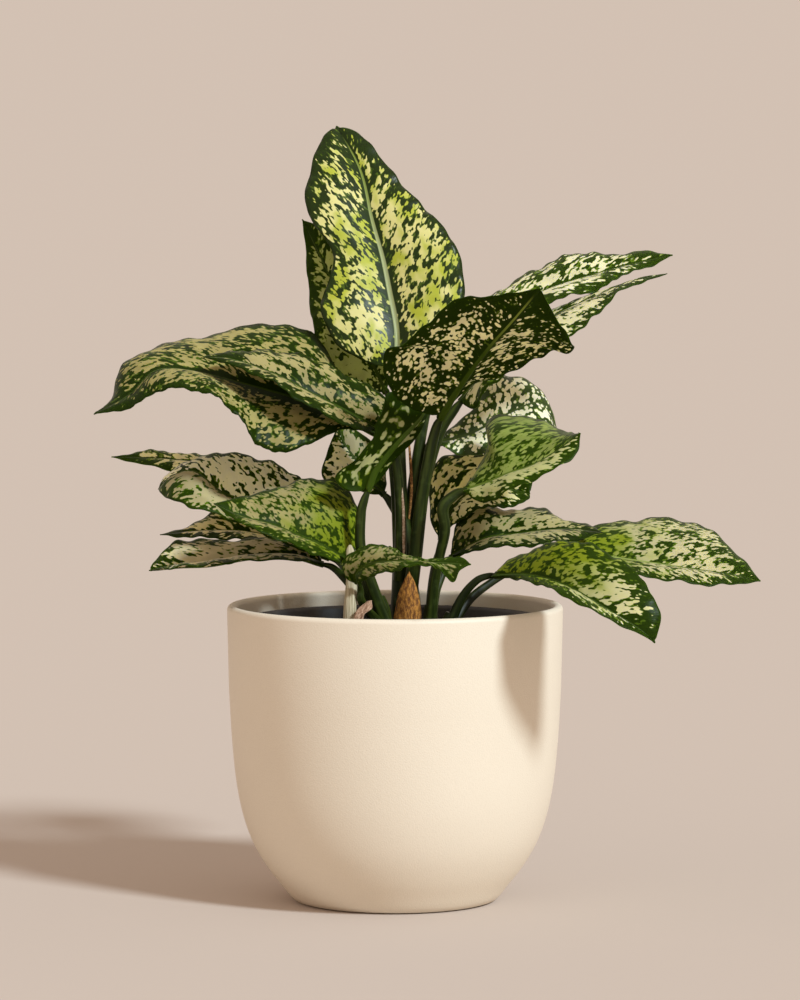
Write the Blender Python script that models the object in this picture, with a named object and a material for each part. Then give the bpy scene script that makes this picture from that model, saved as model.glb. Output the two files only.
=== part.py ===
"""A potted Chinese evergreen: patterned leaves on four canes, in a nursery pot inside a cream cachepot.

The origin is the centre of the cachepot's foot, on the surface that it stands on. +Z is up, +X is to the
right and -Y is the side that the plant is seen from. Sizes below are in millimetres.
"""
import math

import bmesh
import bpy
import numpy as np

MM = 0.001
GAP = 0.3

# Driving dimensions of the cachepot
RIM_DIAMETER = 190.0
POT_HEIGHT = 168.0
FOOT_DIAMETER = 110.0
POT_WALL = 5.6
POT_FLOOR = 9.0
POT_STEPS = 40
POT_CURVE_POINTS = 10

# The nursery pot stands on the cachepot's floor, with its rim just below the cachepot's lip
GROW_RIM_DIAMETER = 172.0
GROW_FOOT_DIAMETER = 104.0
GROW_RIM_HEIGHT = 160.0
GROW_WALL = 1.4
GROW_ROLL = 3.0
GROW_ROLL_HEIGHT = 9.0
GROW_STEPS = 36
DRAIN_HOLES = 6
DRAIN_RADIUS = 4.0
DRAIN_SIDES = 10
DRAIN_CIRCLE = 34.0
DRAIN_TURN = 5.0

# Soil and what stands in it: canes and stalks go straight down into plain round holes
SOIL_TOP = 152.0
SOIL_CROWN = 1.6
ROOTED_DEPTH = 26.0
STRAIGHT_ABOVE_SOIL = 4.0
HOLE_CLEARANCE = 0.7
HOLE_SIDES = 12
STALK_SIDES = 7
CANE_RINGS = 8
DRY_STALK_RINGS = 9
CUTTER_REACH = 4.0

# How evenly a smooth curve passes its points: 1 goes by distance alone
CURVE_EVENNESS = 0.75

# Leaf blades. Rows crowd a little towards the tip, and the midrib thins out towards it.
BLADE_THICKNESS = 0.8
MIDRIB_THICKNESS = 2.0
MIDRIB_TAPER = 0.8
BLADE_ROWS = 12
ROW_CROWDING = 0.95
BLADE_COLUMNS = (-1.0, -0.62, -0.28, 0.0, 0.28, 0.62, 1.0)
BLADE_BULGE = 0.10
BASE_HALF_WIDTH = 2.0
BASE_FADE = 6
TIP_HALF_WIDTH = 0.5

# The share of a row's own upward direction in the direction that the blade's thickness is set along
THICKNESS_EVENING = 0.2

# The petiole's last stretch runs straight into the midrib and narrows to its end
PETIOLE_NECK = 5.0
NECK_GAP = 0.45
NECK_END = 0.72
NECK_START = 0.83

# Each blade: its midrib from the base to the tip, and its left and right margins between those two ends,
# as seen on the upper face looking towards the tip.
LEAVES = {
    "leaf_top": {
        "rib": [(1, 6, 301), (1, 14, 323), (-3, 24, 344), (-7, 34, 363), (-13, 45, 384), (-20, 62, 413),
                (-34, 78, 439)],
        "left": [(-17, 4, 305), (-34, 6, 316), (-42, 14, 337), (-35, 28, 363), (-51, 42, 392),
                 (-48, 58, 416), (-42, 70, 432)],
        "right": [(20, 2, 312), (36, 8, 330), (39, 18, 354), (31, 32, 376), (6, 54, 403), (-20, 74, 434)],
    },
    "leaf_back": {
        "rib": [(-5, 14, 287), (-19, 34, 316), (-35, 56, 347), (-54, 78, 385)],
        "left": [(-27, 30, 289), (-41, 32, 301), (-46, 33, 318), (-50, 54, 346), (-52, 68, 370)],
        "right": [(1, 34, 311), (-6, 54, 339), (-29, 74, 373)],
    },
    "leaf_left": {
        "rib": [(-6, -2, 263), (-33, -8, 277), (-59, -12, 286), (-87, -15, 294), (-115, -18, 301),
                (-134, -22, 301), (-148, -26, 288), (-168, -30, 277)],
        "left": [(-28, -18, 268), (-57, -34, 257), (-74, -42, 259), (-87, -46, 277), (-104, -52, 290),
                 (-130, -46, 291), (-147, -38, 281)],
        "right": [(-28, 8, 291), (-44, 22, 318), (-71, 30, 326), (-103, 30, 320), (-135, 20, 313),
                  (-153, 2, 304), (-160, -16, 284)],
    },
    "leaf_left_upper": {
        "rib": [(-9, -14, 268), (-32, -22, 281), (-47, -27, 289), (-68, -30, 300), (-92, -30, 308),
                (-107, -28, 309)],
        "left": [(-22, -30, 269), (-44, -42, 280), (-69, -44, 296), (-92, -38, 305)],
        "right": [(-5, -8, 285), (-25, -6, 297), (-48, -6, 308), (-73, -10, 312), (-97, -20, 311)],
    },
    "leaf_front": {
        "rib": [(25, -28, 275), (32, -38, 288), (41, -52, 302), (52, -70, 317), (63, -88, 330),
                (78, -112, 349)],
        "left": [(42, -34, 293), (60, -42, 299), (84, -60, 312), (98, -76, 315), (89, -92, 330)],
        "right": [(8, -34, 281), (-3, -46, 292), (-6, -60, 312), (8, -70, 320), (33, -92, 342),
                  (57, -104, 345)],
    },
    "leaf_upper_right": {
        "rib": [(32, 18, 311), (60, 24, 332), (88, 28, 346), (117, 30, 355), (140, 30, 361), (158, 28, 365)],
        "left": [(34, 34, 328), (54, 46, 341), (78, 52, 355), (95, 54, 363), (105, 53, 366), (123, 48, 365),
                 (143, 40, 367)],
        "right": [(48, 0, 314), (85, 5, 338), (116, 9, 346), (129, 16, 354), (144, 24, 358)],
    },
    "leaf_right_upper": {
        "rib": [(36, 2, 283), (59, 0, 311), (85, 1, 329), (115, 0, 343), (138, -2, 351), (153, -4, 355)],
        "left": [(47, 18, 304), (65, 26, 321), (94, 26, 334), (122, 16, 345), (141, 4, 353)],
        "right": [(44, -10, 279), (50, -18, 289), (64, -24, 301), (97, -32, 321), (111, -28, 331),
                  (124, -20, 344), (140, -11, 351)],
    },
    "leaf_right_back": {
        "rib": [(24, 14, 259), (43, 30, 263), (66, 50, 274), (84, 66, 279), (94, 80, 264)],
        "left": [(31, 28, 266), (45, 44, 277), (54, 60, 292), (64, 68, 295), (78, 76, 291), (90, 80, 278)],
        "right": [(34, 12, 253), (51, 24, 251), (72, 40, 253), (90, 64, 256)],
    },
    "leaf_right": {
        "rib": [(38, -32, 235), (52, -38, 240), (63, -42, 245), (75, -44, 249), (89, -44, 257),
                (103, -42, 267)],
        "left": [(44, -20, 243), (52, -6, 256), (52, 6, 271), (67, 8, 275), (85, 4, 271), (97, -10, 266)],
        "right": [(46, -42, 229), (55, -52, 231), (65, -57, 237), (75, -57, 242), (91, -54, 249),
                  (101, -48, 257)],
    },
    "leaf_centre_back": {
        "rib": [(26, 17, 203), (30, 21, 217), (40, 25, 228), (54, 27, 233), (68, 26, 231), (77, 23, 229)],
        "left": [(20, 24, 214), (20, 36, 236), (26, 42, 248), (37, 45, 252), (52, 46, 251), (67, 40, 246),
                 (78, 30, 238)],
        "right": [(33, 14, 212), (42, 9, 218), (54, 9, 223), (65, 13, 222), (76, 18, 226)],
    },
    "leaf_right_low_back": {
        "rib": [(31, 0, 195), (51, 4, 205), (67, 8, 207), (83, 10, 209), (99, 10, 210), (118, 8, 208)],
        "left": [(33, 9, 204), (36, 19, 218), (44, 27, 223), (65, 33, 220), (86, 36, 219), (96, 32, 214),
                 (111, 20, 211)],
        "right": [(39, -8, 198), (63, -16, 202), (81, -16, 203), (101, -6, 205)],
    },
    "leaf_far_right": {
        "rib": [(85, 14, 194), (111, 12, 195), (129, 11, 193), (164, 8, 188), (194, 4, 184), (207, 2, 181)],
        "left": [(94, 26, 202), (113, 38, 209), (135, 48, 212), (154, 52, 213), (177, 48, 209),
                 (196, 22, 194)],
        "right": [(100, 2, 189), (121, -8, 186), (146, -12, 184), (175, -12, 180), (195, -4, 180)],
    },
    "leaf_right_low": {
        "rib": [(55, -34, 188), (74, -62, 190), (94, -88, 186), (113, -104, 176), (133, -110, 164),
                (141, -110, 157)],
        "left": [(62, -28, 194), (76, -40, 202), (95, -60, 209), (114, -76, 205), (129, -90, 196),
                 (139, -102, 184), (144, -106, 170)],
        "right": [(65, -54, 187), (79, -90, 187), (93, -111, 182), (113, -120, 172), (133, -115, 162)],
    },
    "leaf_left_back": {
        "rib": [(-42, 34, 225), (-72, 42, 236), (-109, 46, 245), (-135, 46, 248), (-163, 44, 249)],
        "left": [(-60, 22, 226), (-89, 26, 234), (-117, 32, 240), (-146, 40, 245)],
        "right": [(-55, 48, 236), (-84, 58, 245), (-113, 58, 249), (-139, 54, 252)],
    },
    "leaf_left_middle": {
        "rib": [(-37, 0, 200), (-59, -2, 210), (-82, -4, 223), (-99, -6, 233), (-113, -8, 244),
                (-126, -4, 241), (-134, 2, 233)],
        "left": [(-53, -14, 200), (-81, -22, 213), (-103, -28, 222), (-117, -28, 226), (-130, -12, 230)],
        "right": [(-37, 10, 218), (-54, 16, 238), (-72, 18, 248), (-97, 16, 253), (-116, 8, 249),
                  (-130, 8, 240)],
    },
    "leaf_left_front": {
        "rib": [(-24, -22, 194), (-39, -32, 203), (-53, -40, 210), (-69, -48, 217), (-86, -52, 222),
                (-100, -56, 229)],
        "left": [(-32, -36, 195), (-52, -56, 204), (-69, -64, 212), (-85, -64, 219)],
        "right": [(-20, -12, 210), (-22, -6, 227), (-31, -4, 237), (-45, -6, 240), (-54, -14, 239),
                  (-64, -22, 236), (-83, -38, 232)],
    },
    "leaf_left_low_back": {
        "rib": [(-37, 24, 193), (-60, 26, 201), (-83, 26, 207), (-108, 24, 208), (-134, 20, 206)],
        "left": [(-54, 12, 195), (-82, 8, 203), (-102, 9, 205), (-116, 12, 205)],
        "right": [(-49, 38, 207), (-78, 44, 216), (-101, 42, 218), (-113, 34, 213), (-123, 30, 208)],
    },
    "leaf_left_low": {
        "rib": [(-40, -6, 192), (-59, -10, 197), (-82, -14, 196), (-104, -18, 192), (-121, -20, 191),
                (-138, -22, 189)],
        "left": [(-53, -26, 195), (-81, -38, 196), (-103, -42, 194), (-123, -38, 192)],
        "right": [(-47, 2, 200), (-71, 4, 205), (-99, 2, 204), (-119, -2, 205), (-128, -8, 201),
                  (-135, -16, 194)],
    },
    "leaf_small": {
        "rib": [(-21, -50, 183), (-22, -56, 190), (-13, -70, 197), (5, -90, 200), (19, -100, 200),
                (31, -108, 200), (41, -114, 200)],
        "left": [(-27, -49, 187), (-29, -50, 197), (-20, -54, 204), (-6, -66, 207), (3, -80, 204),
                 (16, -94, 201), (29, -102, 203), (37, -109, 203)],
        "right": [(-19, -58, 185), (-10, -77, 191), (4, -98, 196), (18, -104, 199), (25, -109, 196),
                  (31, -112, 190), (35, -115, 197)],
    },
    "leaf_centre": {
        "rib": [(-16, -30, 234), (-11, -30, 246), (1, -29, 261), (14, -26, 275), (20, -24, 285)],
        "left": [(-12, -26, 237), (3, -22, 254), (16, -20, 270)],
        "right": [(-28, -34, 235), (-33, -36, 242), (-24, -35, 251), (-13, -33, 263), (-9, -32, 274),
                  (-3, -28, 289)],
    },
    "leaf_centre_left": {
        "rib": [(-6, 9, 230), (-14, 12, 238), (-23, 15, 250), (-29, 17, 259), (-32, 18, 270)],
        "left": [(-14, 6, 230), (-36, 7, 236), (-42, 9, 241), (-39, 13, 252)],
        "right": [(-5, 15, 236), (-5, 21, 245), (-9, 23, 255), (-20, 22, 264)],
    },
}

# Each shoot: where its cane is rooted and how thick it is there, the cane's own route upwards, and each
# petiole's route up to the neck of its leaf. A route's entries are X, Y, Z and the stalk's radius.
SHOOTS = {
    "shoot_main": {
        "root": (6, 0, 9.0),
        "cane": [(6, 0, 170, 8.4), (5, 1, 190, 6.5), (4, 2, 216, 4.5)],
        "leaf_top": [(4, 2, 193, 4.0), (3, 3, 238, 3.6), (2, 5, 272, 3.2)],
        "leaf_back": [(3, 5, 193, 4.0), (1, 9, 238, 3.2), (-2, 12, 266, 2.8)],
        "leaf_left": [(3, 0, 187, 4.0), (1, -3, 227, 3.2), (-1, -3, 249, 2.9)],
        "leaf_left_upper": [(3, -3, 182, 4.0), (3, -10, 222, 3.0), (0, -13, 253, 2.6)],
        "leaf_front": [(7, -5, 165, 4.5), (11, -12, 194, 4.0), (15, -18, 228, 3.6), (20, -24, 257, 3.2)],
        "leaf_upper_right": [(6, 5, 193, 4.0), (11, 10, 238, 3.4), (19, 15, 283, 2.8)],
        "leaf_right_upper": [(8, 2, 187, 4.0), (16, 4, 232, 3.2), (25, 4, 264, 3.0)],
        "leaf_right_back": [(7, 8, 192, 4.0), (13, 11, 226, 3.2)],
        "leaf_centre_left": [(4, 2, 193, 4.0), (3, 4, 214, 3.0)],
    },
    "shoot_left": {
        "root": (-8, -20, 6.5),
        "cane": [(-8, -20, 166, 5.5), (-10, -20, 174, 4.0)],
        "leaf_centre": [(-6, -22, 161, 4.0), (-12, -25, 178, 3.4), (-19, -28, 201, 3.0),
                        (-19, -30, 221, 2.8)],
        "leaf_left_front": [(-10, -20, 166, 3.6), (-16, -21, 181, 3.0)],
        "leaf_left_middle": [(-10, -19, 164, 3.4), (-20, -12, 177, 2.6), (-28, -6, 191, 2.3)],
        "leaf_left_low": [(-10, -20, 162, 3.4), (-21, -14, 175, 2.6), (-29, -10, 184, 2.3)],
        "leaf_left_low_back": [(-8, -14, 160, 3.4), (-16, 0, 171, 2.6), (-26, 14, 183, 2.2)],
        "leaf_left_back": [(-7, -12, 161, 3.4), (-16, 4, 176, 2.6), (-27, 20, 197, 2.2),
                           (-34, 30, 215, 2.1)],
        "leaf_small": [(-10, -24, 160, 3.2), (-15, -34, 167, 2.6), (-19, -45, 175, 2.2)],
    },
    "shoot_right": {
        "root": (20, -14, 4.4),
        "cane": [(20, -14, 161, 4.2), (20, -14, 169, 3.4)],
        "leaf_right": [(20, -15, 161, 3.4), (22, -18, 180, 2.8), (25, -22, 197, 2.8), (28, -27, 212, 3.0),
                       (27, -30, 225, 3.4)],
        "leaf_centre_back": [(20, -12, 161, 3.2), (21, 0, 178, 2.6), (23, 10, 190, 2.3)],
        "leaf_right_low_back": [(20, -13, 159, 3.2), (23, -8, 176, 2.6), (27, -3, 187, 2.4)],
    },
    "shoot_far_right": {
        "root": (30, -26, 4.6),
        "cane": [(30, -26, 160, 4.2), (32, -26, 165, 3.6)],
        "leaf_right_low": [(31, -27, 160, 3.2), (38, -28, 175, 2.4), (46, -29, 184, 2.1)],
        "leaf_far_right": [(32, -24, 159, 3.2), (42, -16, 172, 2.5), (53, -7, 180, 2.2), (66, 4, 187, 2.1)],
    },
}

# The dead pale stalk, rooted beside the left shoot
DRY_STALK_ROOT = (-25, -46, 4.2)
DRY_STALK = [(-25, -45, 169, 3.6), (-24, -39, 188, 3.1), (-25, -33, 204, 2.4)]

# Two dry scraps stand on the soil, shaped as blades: the brown sheath and the pinkish leaf end
DRY_BLADES = {
    "dry_sheath": {
        "rib": [(7, -22, 152.4), (8, -21, 170), (8, -19, 188)],
        "left": [(-1, -16, 154), (1, -17, 172), (5, -18, 183)],
        "right": [(14, -17, 154), (14, -18, 172), (11, -18, 182)],
    },
    "dry_scrap": {
        "rib": [(-20, -54, 151.9), (-20, -55, 164), (-13, -54, 175)],
        "left": [(-23, -54, 159), (-22, -53, 168), (-16, -51, 174)],
        "right": [(-17, -55, 160), (-17, -56, 167), (-13, -56, 171)],
    },
}
DRY_THICKNESS = 0.8
DRY_RIDGE = 0.2
DRY_ROWS = 6
DRY_BASE_HALF_WIDTH = 3.0
CREASE_ANGLE = 40.0


def material(name, colour, roughness):
    """A plain non-metallic finish in the piece's colour."""
    finish = bpy.data.materials.new(name)
    finish.use_nodes = True
    shader = finish.node_tree.nodes["Principled BSDF"]
    shader.inputs["Base Color"].default_value = (*colour, 1.0)
    shader.inputs["Roughness"].default_value = roughness
    shader.inputs["Metallic"].default_value = 0.0
    return finish


def add_object(name, mesh, finish):
    """Put a mesh in the scene as one named piece, shaded smooth except at its sharp edges."""
    mesh.materials.append(finish)
    mesh.shade_smooth()
    mesh.set_sharp_from_angle(angle=math.radians(CREASE_ANGLE))
    piece = bpy.data.objects.new(name, mesh)
    bpy.context.scene.collection.objects.link(piece)
    return piece


def mesh_from(name, points, faces):
    """A mesh from points in millimetres."""
    mesh = bpy.data.meshes.new(name)
    mesh.from_pydata([tuple(point) for point in np.asarray(points) * MM], [], [tuple(f) for f in faces])
    mesh.update()
    return mesh


def turned(name, outline, steps, finish):
    """A body turned about the Z axis from an outline of (radius, height) that starts and ends on it."""
    shape = bmesh.new()
    corners = [shape.verts.new((radius * MM, 0.0, height * MM)) for radius, height in outline]
    edges = [shape.edges.new(pair) for pair in zip(corners, corners[1:])]
    bmesh.ops.spin(shape, geom=corners + edges, cent=(0, 0, 0), axis=(0, 0, 1), angle=math.tau, steps=steps,
                   use_merge=False)
    bmesh.ops.remove_doubles(shape, verts=shape.verts, dist=1e-6)
    bmesh.ops.recalc_face_normals(shape, faces=shape.faces)
    mesh = bpy.data.meshes.new(name)
    shape.to_mesh(mesh)
    shape.free()
    return add_object(name, mesh, finish)


def knots_of(points):
    """How far along the curve each point lies, from 0 to 1. Short steps count for a little more."""
    steps = np.linalg.norm(np.diff(np.asarray(points, float), axis=0), axis=1) ** CURVE_EVENNESS
    knots = np.concatenate([[0.0], np.cumsum(steps)])
    return knots / knots[-1]


def smooth_curve(points, along):
    """Places on the smooth curve through the points, at distances along it from 0 to 1."""
    points = np.asarray(points, float)
    knots = knots_of(points)
    slopes = np.diff(points, axis=0) / np.diff(knots)[:, None]
    spans = np.diff(knots)[:, None]
    inner = (slopes[:-1] * spans[:-1] + slopes[1:] * spans[1:]) / (spans[:-1] + spans[1:])
    tangents = np.concatenate([slopes[:1], inner, slopes[-1:]])
    first = np.clip(np.searchsorted(knots, along, side="right") - 1, 0, len(points) - 2)
    span = spans[first]
    s = (along - knots[first])[:, None] / span
    return ((2 * s**3 - 3 * s**2 + 1) * points[first] + (s**3 - 2 * s**2 + s) * span * tangents[first]
            + (3 * s**2 - 2 * s**3) * points[first + 1] + (s**3 - s**2) * span * tangents[first + 1])


def unit(vectors):
    """Vectors scaled to length 1."""
    return vectors / np.maximum(np.linalg.norm(vectors, axis=-1, keepdims=True), 1e-9)


def directions(points, along):
    """The curve's direction at distances along it."""
    ahead = smooth_curve(points, np.clip(along + 0.01, 0, 1))
    behind = smooth_curve(points, np.clip(along - 0.01, 0, 1))
    return unit(ahead - behind)


def square_to(vector, axis):
    """The part of a vector that stands square to an axis, at length 1."""
    return unit(vector - axis * (vector @ axis))


def blade_surface(outline, rows, base_half_width):
    """The upper face of a blade, as a grid of points, with its upward direction at each row.

    Each half bulges up between the midrib and the margin, as the halves of the real blade do.
    """
    rib, left, right = outline["rib"], outline["left"], outline["right"]
    along = np.linspace(0, 1, rows + 1) ** ROW_CROWDING
    spine = smooth_curve(rib, along)
    to_left = smooth_curve([rib[0], *left, rib[-1]], along) - spine
    to_right = smooth_curve([rib[0], *right, rib[-1]], along) - spine
    forward = directions(rib, along)
    left_way, right_way = unit(to_left), unit(to_right)
    across = unit(right_way - left_way)
    for end, beside in ((0, 1), (rows, rows - 1)):
        across[end] = square_to(across[beside], forward[end])
        left_way[end], right_way[end] = -across[end], across[end]
    upward = unit(np.cross(across, forward))
    least = base_half_width * (1 - along) ** BASE_FADE + TIP_HALF_WIDTH
    left_width = np.maximum(np.linalg.norm(to_left, axis=1), least)
    right_width = np.maximum(np.linalg.norm(to_right, axis=1), least)
    grid = np.zeros((rows + 1, len(BLADE_COLUMNS), 3))
    for column, place in enumerate(BLADE_COLUMNS):
        way, width = (left_way, left_width) if place < 0 else (right_way, right_width)
        rise = BLADE_BULGE * width * math.sin(math.pi * abs(place))
        grid[:, column] = spine + way * (width * abs(place))[:, None] + upward * rise[:, None]
    return along, grid, upward, forward


def blade_mesh(name, outline, rows, thickness, midrib, base_half_width):
    """A closed blade: its upper face, the same face set back by its thickness, and the edge between.

    Both faces are split into the same triangles, so that a waved blade never cuts through itself.
    """
    along, upper, upward, forward = blade_surface(outline, rows, base_half_width)
    normals = unit(np.cross(np.gradient(upper, axis=1), np.gradient(upper, axis=0)))
    normals = unit((1 - THICKNESS_EVENING) * normals + THICKNESS_EVENING * upward[:, None])
    for column in range(len(BLADE_COLUMNS)):
        normals[0, column] = square_to(normals[0, column], forward[0])
    depth = np.full(upper.shape[:2], thickness)
    middle = len(BLADE_COLUMNS) // 2
    depth[:, middle] += midrib * (1 - along) ** MIDRIB_TAPER
    lower = upper - normals * depth[..., None]
    points = np.concatenate([upper.reshape(-1, 3), lower.reshape(-1, 3)])
    wide = len(BLADE_COLUMNS)
    below = (rows + 1) * wide
    faces = []
    for row in range(rows):
        for column in range(wide - 1):
            a = row * wide + column
            b, c, d = a + 1, a + wide + 1, a + wide
            pair = [(a, b, c), (a, c, d)] if column < middle else [(a, b, d), (b, c, d)]
            faces += pair
            faces += [(below + i, below + k, below + j) for i, j, k in pair]
    base = list(range(wide))
    right = [row * wide + wide - 1 for row in range(1, rows + 1)]
    tip = [rows * wide + column for column in range(wide - 2, -1, -1)]
    left = [row * wide for row in range(rows - 1, 0, -1)]
    rim = base + right + tip + left
    for here, there in zip(rim, rim[1:] + rim[:1]):
        faces += [(there, here, below + here), (there, below + here, below + there)]
    return mesh_from(name, points, faces)


def stalk_mesh(name, route, radii, rings):
    """A closed round stalk along the smooth curve through a route, its ends square to it."""
    along = np.linspace(0, 1, rings)
    centres = smooth_curve(route, along)
    thickness = np.interp(along, knots_of(route), radii)
    forward = directions(route, along)
    side = unit(np.cross(forward, (0.0, 1.0, 0.0)))
    other = np.cross(forward, side)
    angles = np.arange(STALK_SIDES) * math.tau / STALK_SIDES
    outward = side[:, None] * np.cos(angles)[None, :, None] + other[:, None] * np.sin(angles)[None, :, None]
    points = (centres[:, None] + thickness[:, None, None] * outward).reshape(-1, 3)
    faces = [tuple(reversed(range(STALK_SIDES)))]
    faces.append(tuple(range((rings - 1) * STALK_SIDES, rings * STALK_SIDES)))
    for ring in range(rings - 1):
        for corner in range(STALK_SIDES):
            a = ring * STALK_SIDES + corner
            b = ring * STALK_SIDES + (corner + 1) % STALK_SIDES
            faces.append((a, b, b + STALK_SIDES, a + STALK_SIDES))
    return mesh_from(name, points, faces)


def rooted(root, route):
    """A route and its radii, started by the straight stretch that stands in the soil."""
    x, y, radius = root
    foot = [(x, y, SOIL_TOP - ROOTED_DEPTH, radius), (x, y, SOIL_TOP + STRAIGHT_ABOVE_SOIL, radius)]
    whole = foot + route
    return [entry[:3] for entry in whole], [entry[3] for entry in whole]


def petiole_route(leaf, route):
    """A petiole's route and radii, ended by the neck that runs straight into the leaf's midrib."""
    outline = LEAVES[leaf]
    start = directions(outline["rib"], np.zeros(1))[0]
    upward = blade_surface(outline, BLADE_ROWS, BASE_HALF_WIDTH)[2][0]
    seat = np.array(outline["rib"][0]) - 0.5 * (BLADE_THICKNESS + MIDRIB_THICKNESS) * upward
    last_radius = route[-1][3]
    neck = [tuple(seat - PETIOLE_NECK * start), tuple(seat - NECK_GAP * start)]
    neck_radii = [last_radius * NECK_START, last_radius * NECK_END]
    return [entry[:3] for entry in route] + neck, [entry[3] for entry in route] + neck_radii


def fuse(first, others):
    """Join stalks into one grown body with one Boolean union, and remove the loose ones."""
    bunch = bpy.data.collections.new(first.name + "_petioles")
    bpy.context.scene.collection.children.link(bunch)
    for piece in others:
        bunch.objects.link(piece)
        bpy.context.scene.collection.objects.unlink(piece)
    union = first.modifiers.new("grown_together", "BOOLEAN")
    union.operand_type = "COLLECTION"
    union.operation = "UNION"
    union.collection = bunch
    apply_modifiers(first)
    for piece in others:
        bpy.data.objects.remove(piece)
    bpy.data.collections.remove(bunch)


def apply_modifiers(piece):
    """Replace a piece's mesh by the one that its modifiers give."""
    evaluated = piece.evaluated_get(bpy.context.evaluated_depsgraph_get())
    mesh = bpy.data.meshes.new_from_object(evaluated)
    piece.modifiers.clear()
    piece.data = mesh


def drill(piece, cutters):
    """Cut plain holes into a piece, and remove the cutters."""
    for cutter in cutters:
        cut = piece.modifiers.new("hole", "BOOLEAN")
        cut.operation = "DIFFERENCE"
        cut.object = cutter
    apply_modifiers(piece)
    for cutter in cutters:
        bpy.data.objects.remove(cutter)


def post(name, x, y, low, high, radius, sides):
    """An upright cutter of regular section."""
    angles = np.arange(sides) * math.tau / sides
    ring = [(x + radius * math.cos(a), y + radius * math.sin(a)) for a in angles]
    points = [(px, py, low) for px, py in ring] + [(px, py, high) for px, py in ring]
    faces = [tuple(reversed(range(sides))), tuple(range(sides, 2 * sides))]
    faces += [(i, (i + 1) % sides, (i + 1) % sides + sides, i + sides) for i in range(sides)]
    cutter = bpy.data.objects.new(name, mesh_from(name, points, faces))
    cutter.hide_render = True
    cutter.display_type = "WIRE"
    bpy.context.scene.collection.objects.link(cutter)
    return cutter


def arc(centre, radius, start, end, count):
    """Points on a circular arc of an outline, at angles in degrees from the outward direction."""
    angles = np.radians(np.linspace(start, end, count))
    return [(centre[0] + radius * math.cos(a), centre[1] + radius * math.sin(a)) for a in angles]


def build_pot():
    """The cachepot: nearly straight above, rounded below, to a small flat foot."""
    rim, foot = RIM_DIAMETER / 2, FOOT_DIAMETER / 2
    outside = [(foot, 0), (foot + 3.5, 1.6), (foot + 9.5, 9), (foot + 18, 20), (foot + 26, 34),
               (foot + 31.5, 50), (foot + 35, 68), (foot + 37.4, 92), (foot + 39, 120)]
    flat = np.array([(radius, 0.0, height) for radius, height in outside])
    curve = [(float(x), float(z)) for x, _, z in smooth_curve(flat, np.linspace(0, 1, POT_CURVE_POINTS))]
    lip_radius = POT_WALL / 2
    lip = arc((rim - lip_radius, POT_HEIGHT - lip_radius), lip_radius, 0, 180, 5)
    inner = [(radius - POT_WALL, height) for radius, height in reversed(curve) if height > 2 * POT_FLOOR]
    floor = [(foot - 2, POT_FLOOR), (0, POT_FLOOR)]
    return turned("pot", [(0, 0), *curve, *lip, *inner, *floor], POT_STEPS,
                  material("cream_ceramic", (0.80, 0.66, 0.50), 0.55))


def grow_pot_inside():
    """The lowest and the highest point of the nursery pot's inner wall, as (radius, height)."""
    return ((GROW_FOOT_DIAMETER / 2 - GROW_WALL, POT_FLOOR + GAP + GROW_WALL),
            (GROW_RIM_DIAMETER / 2 - GROW_ROLL - GROW_WALL, GROW_RIM_HEIGHT - 2))


def build_grow_pot():
    """The nursery pot: a thin tapered wall, a rolled rim, and drainage holes in its floor."""
    rim, foot = GROW_RIM_DIAMETER / 2, GROW_FOOT_DIAMETER / 2
    low = POT_FLOOR + GAP
    top = GROW_RIM_HEIGHT
    inner_low, inner_high = grow_pot_inside()
    roll_low = top - GROW_ROLL_HEIGHT
    outline = [(0, low), (foot - 1, low), (foot, low + 1), (rim - GROW_ROLL, roll_low), (rim, roll_low),
               (rim, top - 1), (rim - 1, top), (rim - GROW_ROLL, top), inner_high, inner_low,
               (0, inner_low[1])]
    pot = turned("grow_pot", outline, GROW_STEPS, material("black_plastic", (0.02, 0.02, 0.022), 0.5))
    cutters = []
    for index in range(DRAIN_HOLES):
        angle = index * math.tau / DRAIN_HOLES + math.radians(DRAIN_TURN)
        x, y = DRAIN_CIRCLE * math.cos(angle), DRAIN_CIRCLE * math.sin(angle)
        cutters.append(post(f"drain_{index}", x, y, low - CUTTER_REACH, low + CUTTER_REACH, DRAIN_RADIUS,
                            DRAIN_SIDES))
    drill(pot, cutters)
    return pot


def build_soil():
    """The soil: it fills the nursery pot, and every cane and stalk stands in a blind hole in it."""
    inner_low, inner_high = grow_pot_inside()
    taper = (inner_high[0] - inner_low[0]) / (inner_high[1] - inner_low[1])
    low = inner_low[1] + GAP
    bottom = inner_low[0] - GAP
    edge = inner_low[0] + taper * (SOIL_TOP - SOIL_CROWN - inner_low[1]) - GAP
    outline = [(0, low), (bottom, low), (edge, SOIL_TOP - SOIL_CROWN),
               (edge * 0.7, SOIL_TOP - SOIL_CROWN * 0.4), (edge * 0.35, SOIL_TOP), (0, SOIL_TOP)]
    soil = turned("soil", outline, GROW_STEPS, material("potting_soil", (0.035, 0.025, 0.018), 0.95))
    roots = [shoot["root"] for shoot in SHOOTS.values()] + [DRY_STALK_ROOT]
    bottom_of_hole = SOIL_TOP - ROOTED_DEPTH - GAP
    cutters = []
    for index, (x, y, radius) in enumerate(roots):
        cutters.append(post(f"root_hole_{index}", x, y, bottom_of_hole, SOIL_TOP + CUTTER_REACH,
                            radius + HOLE_CLEARANCE, HOLE_SIDES))
    drill(soil, cutters)
    return soil


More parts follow.
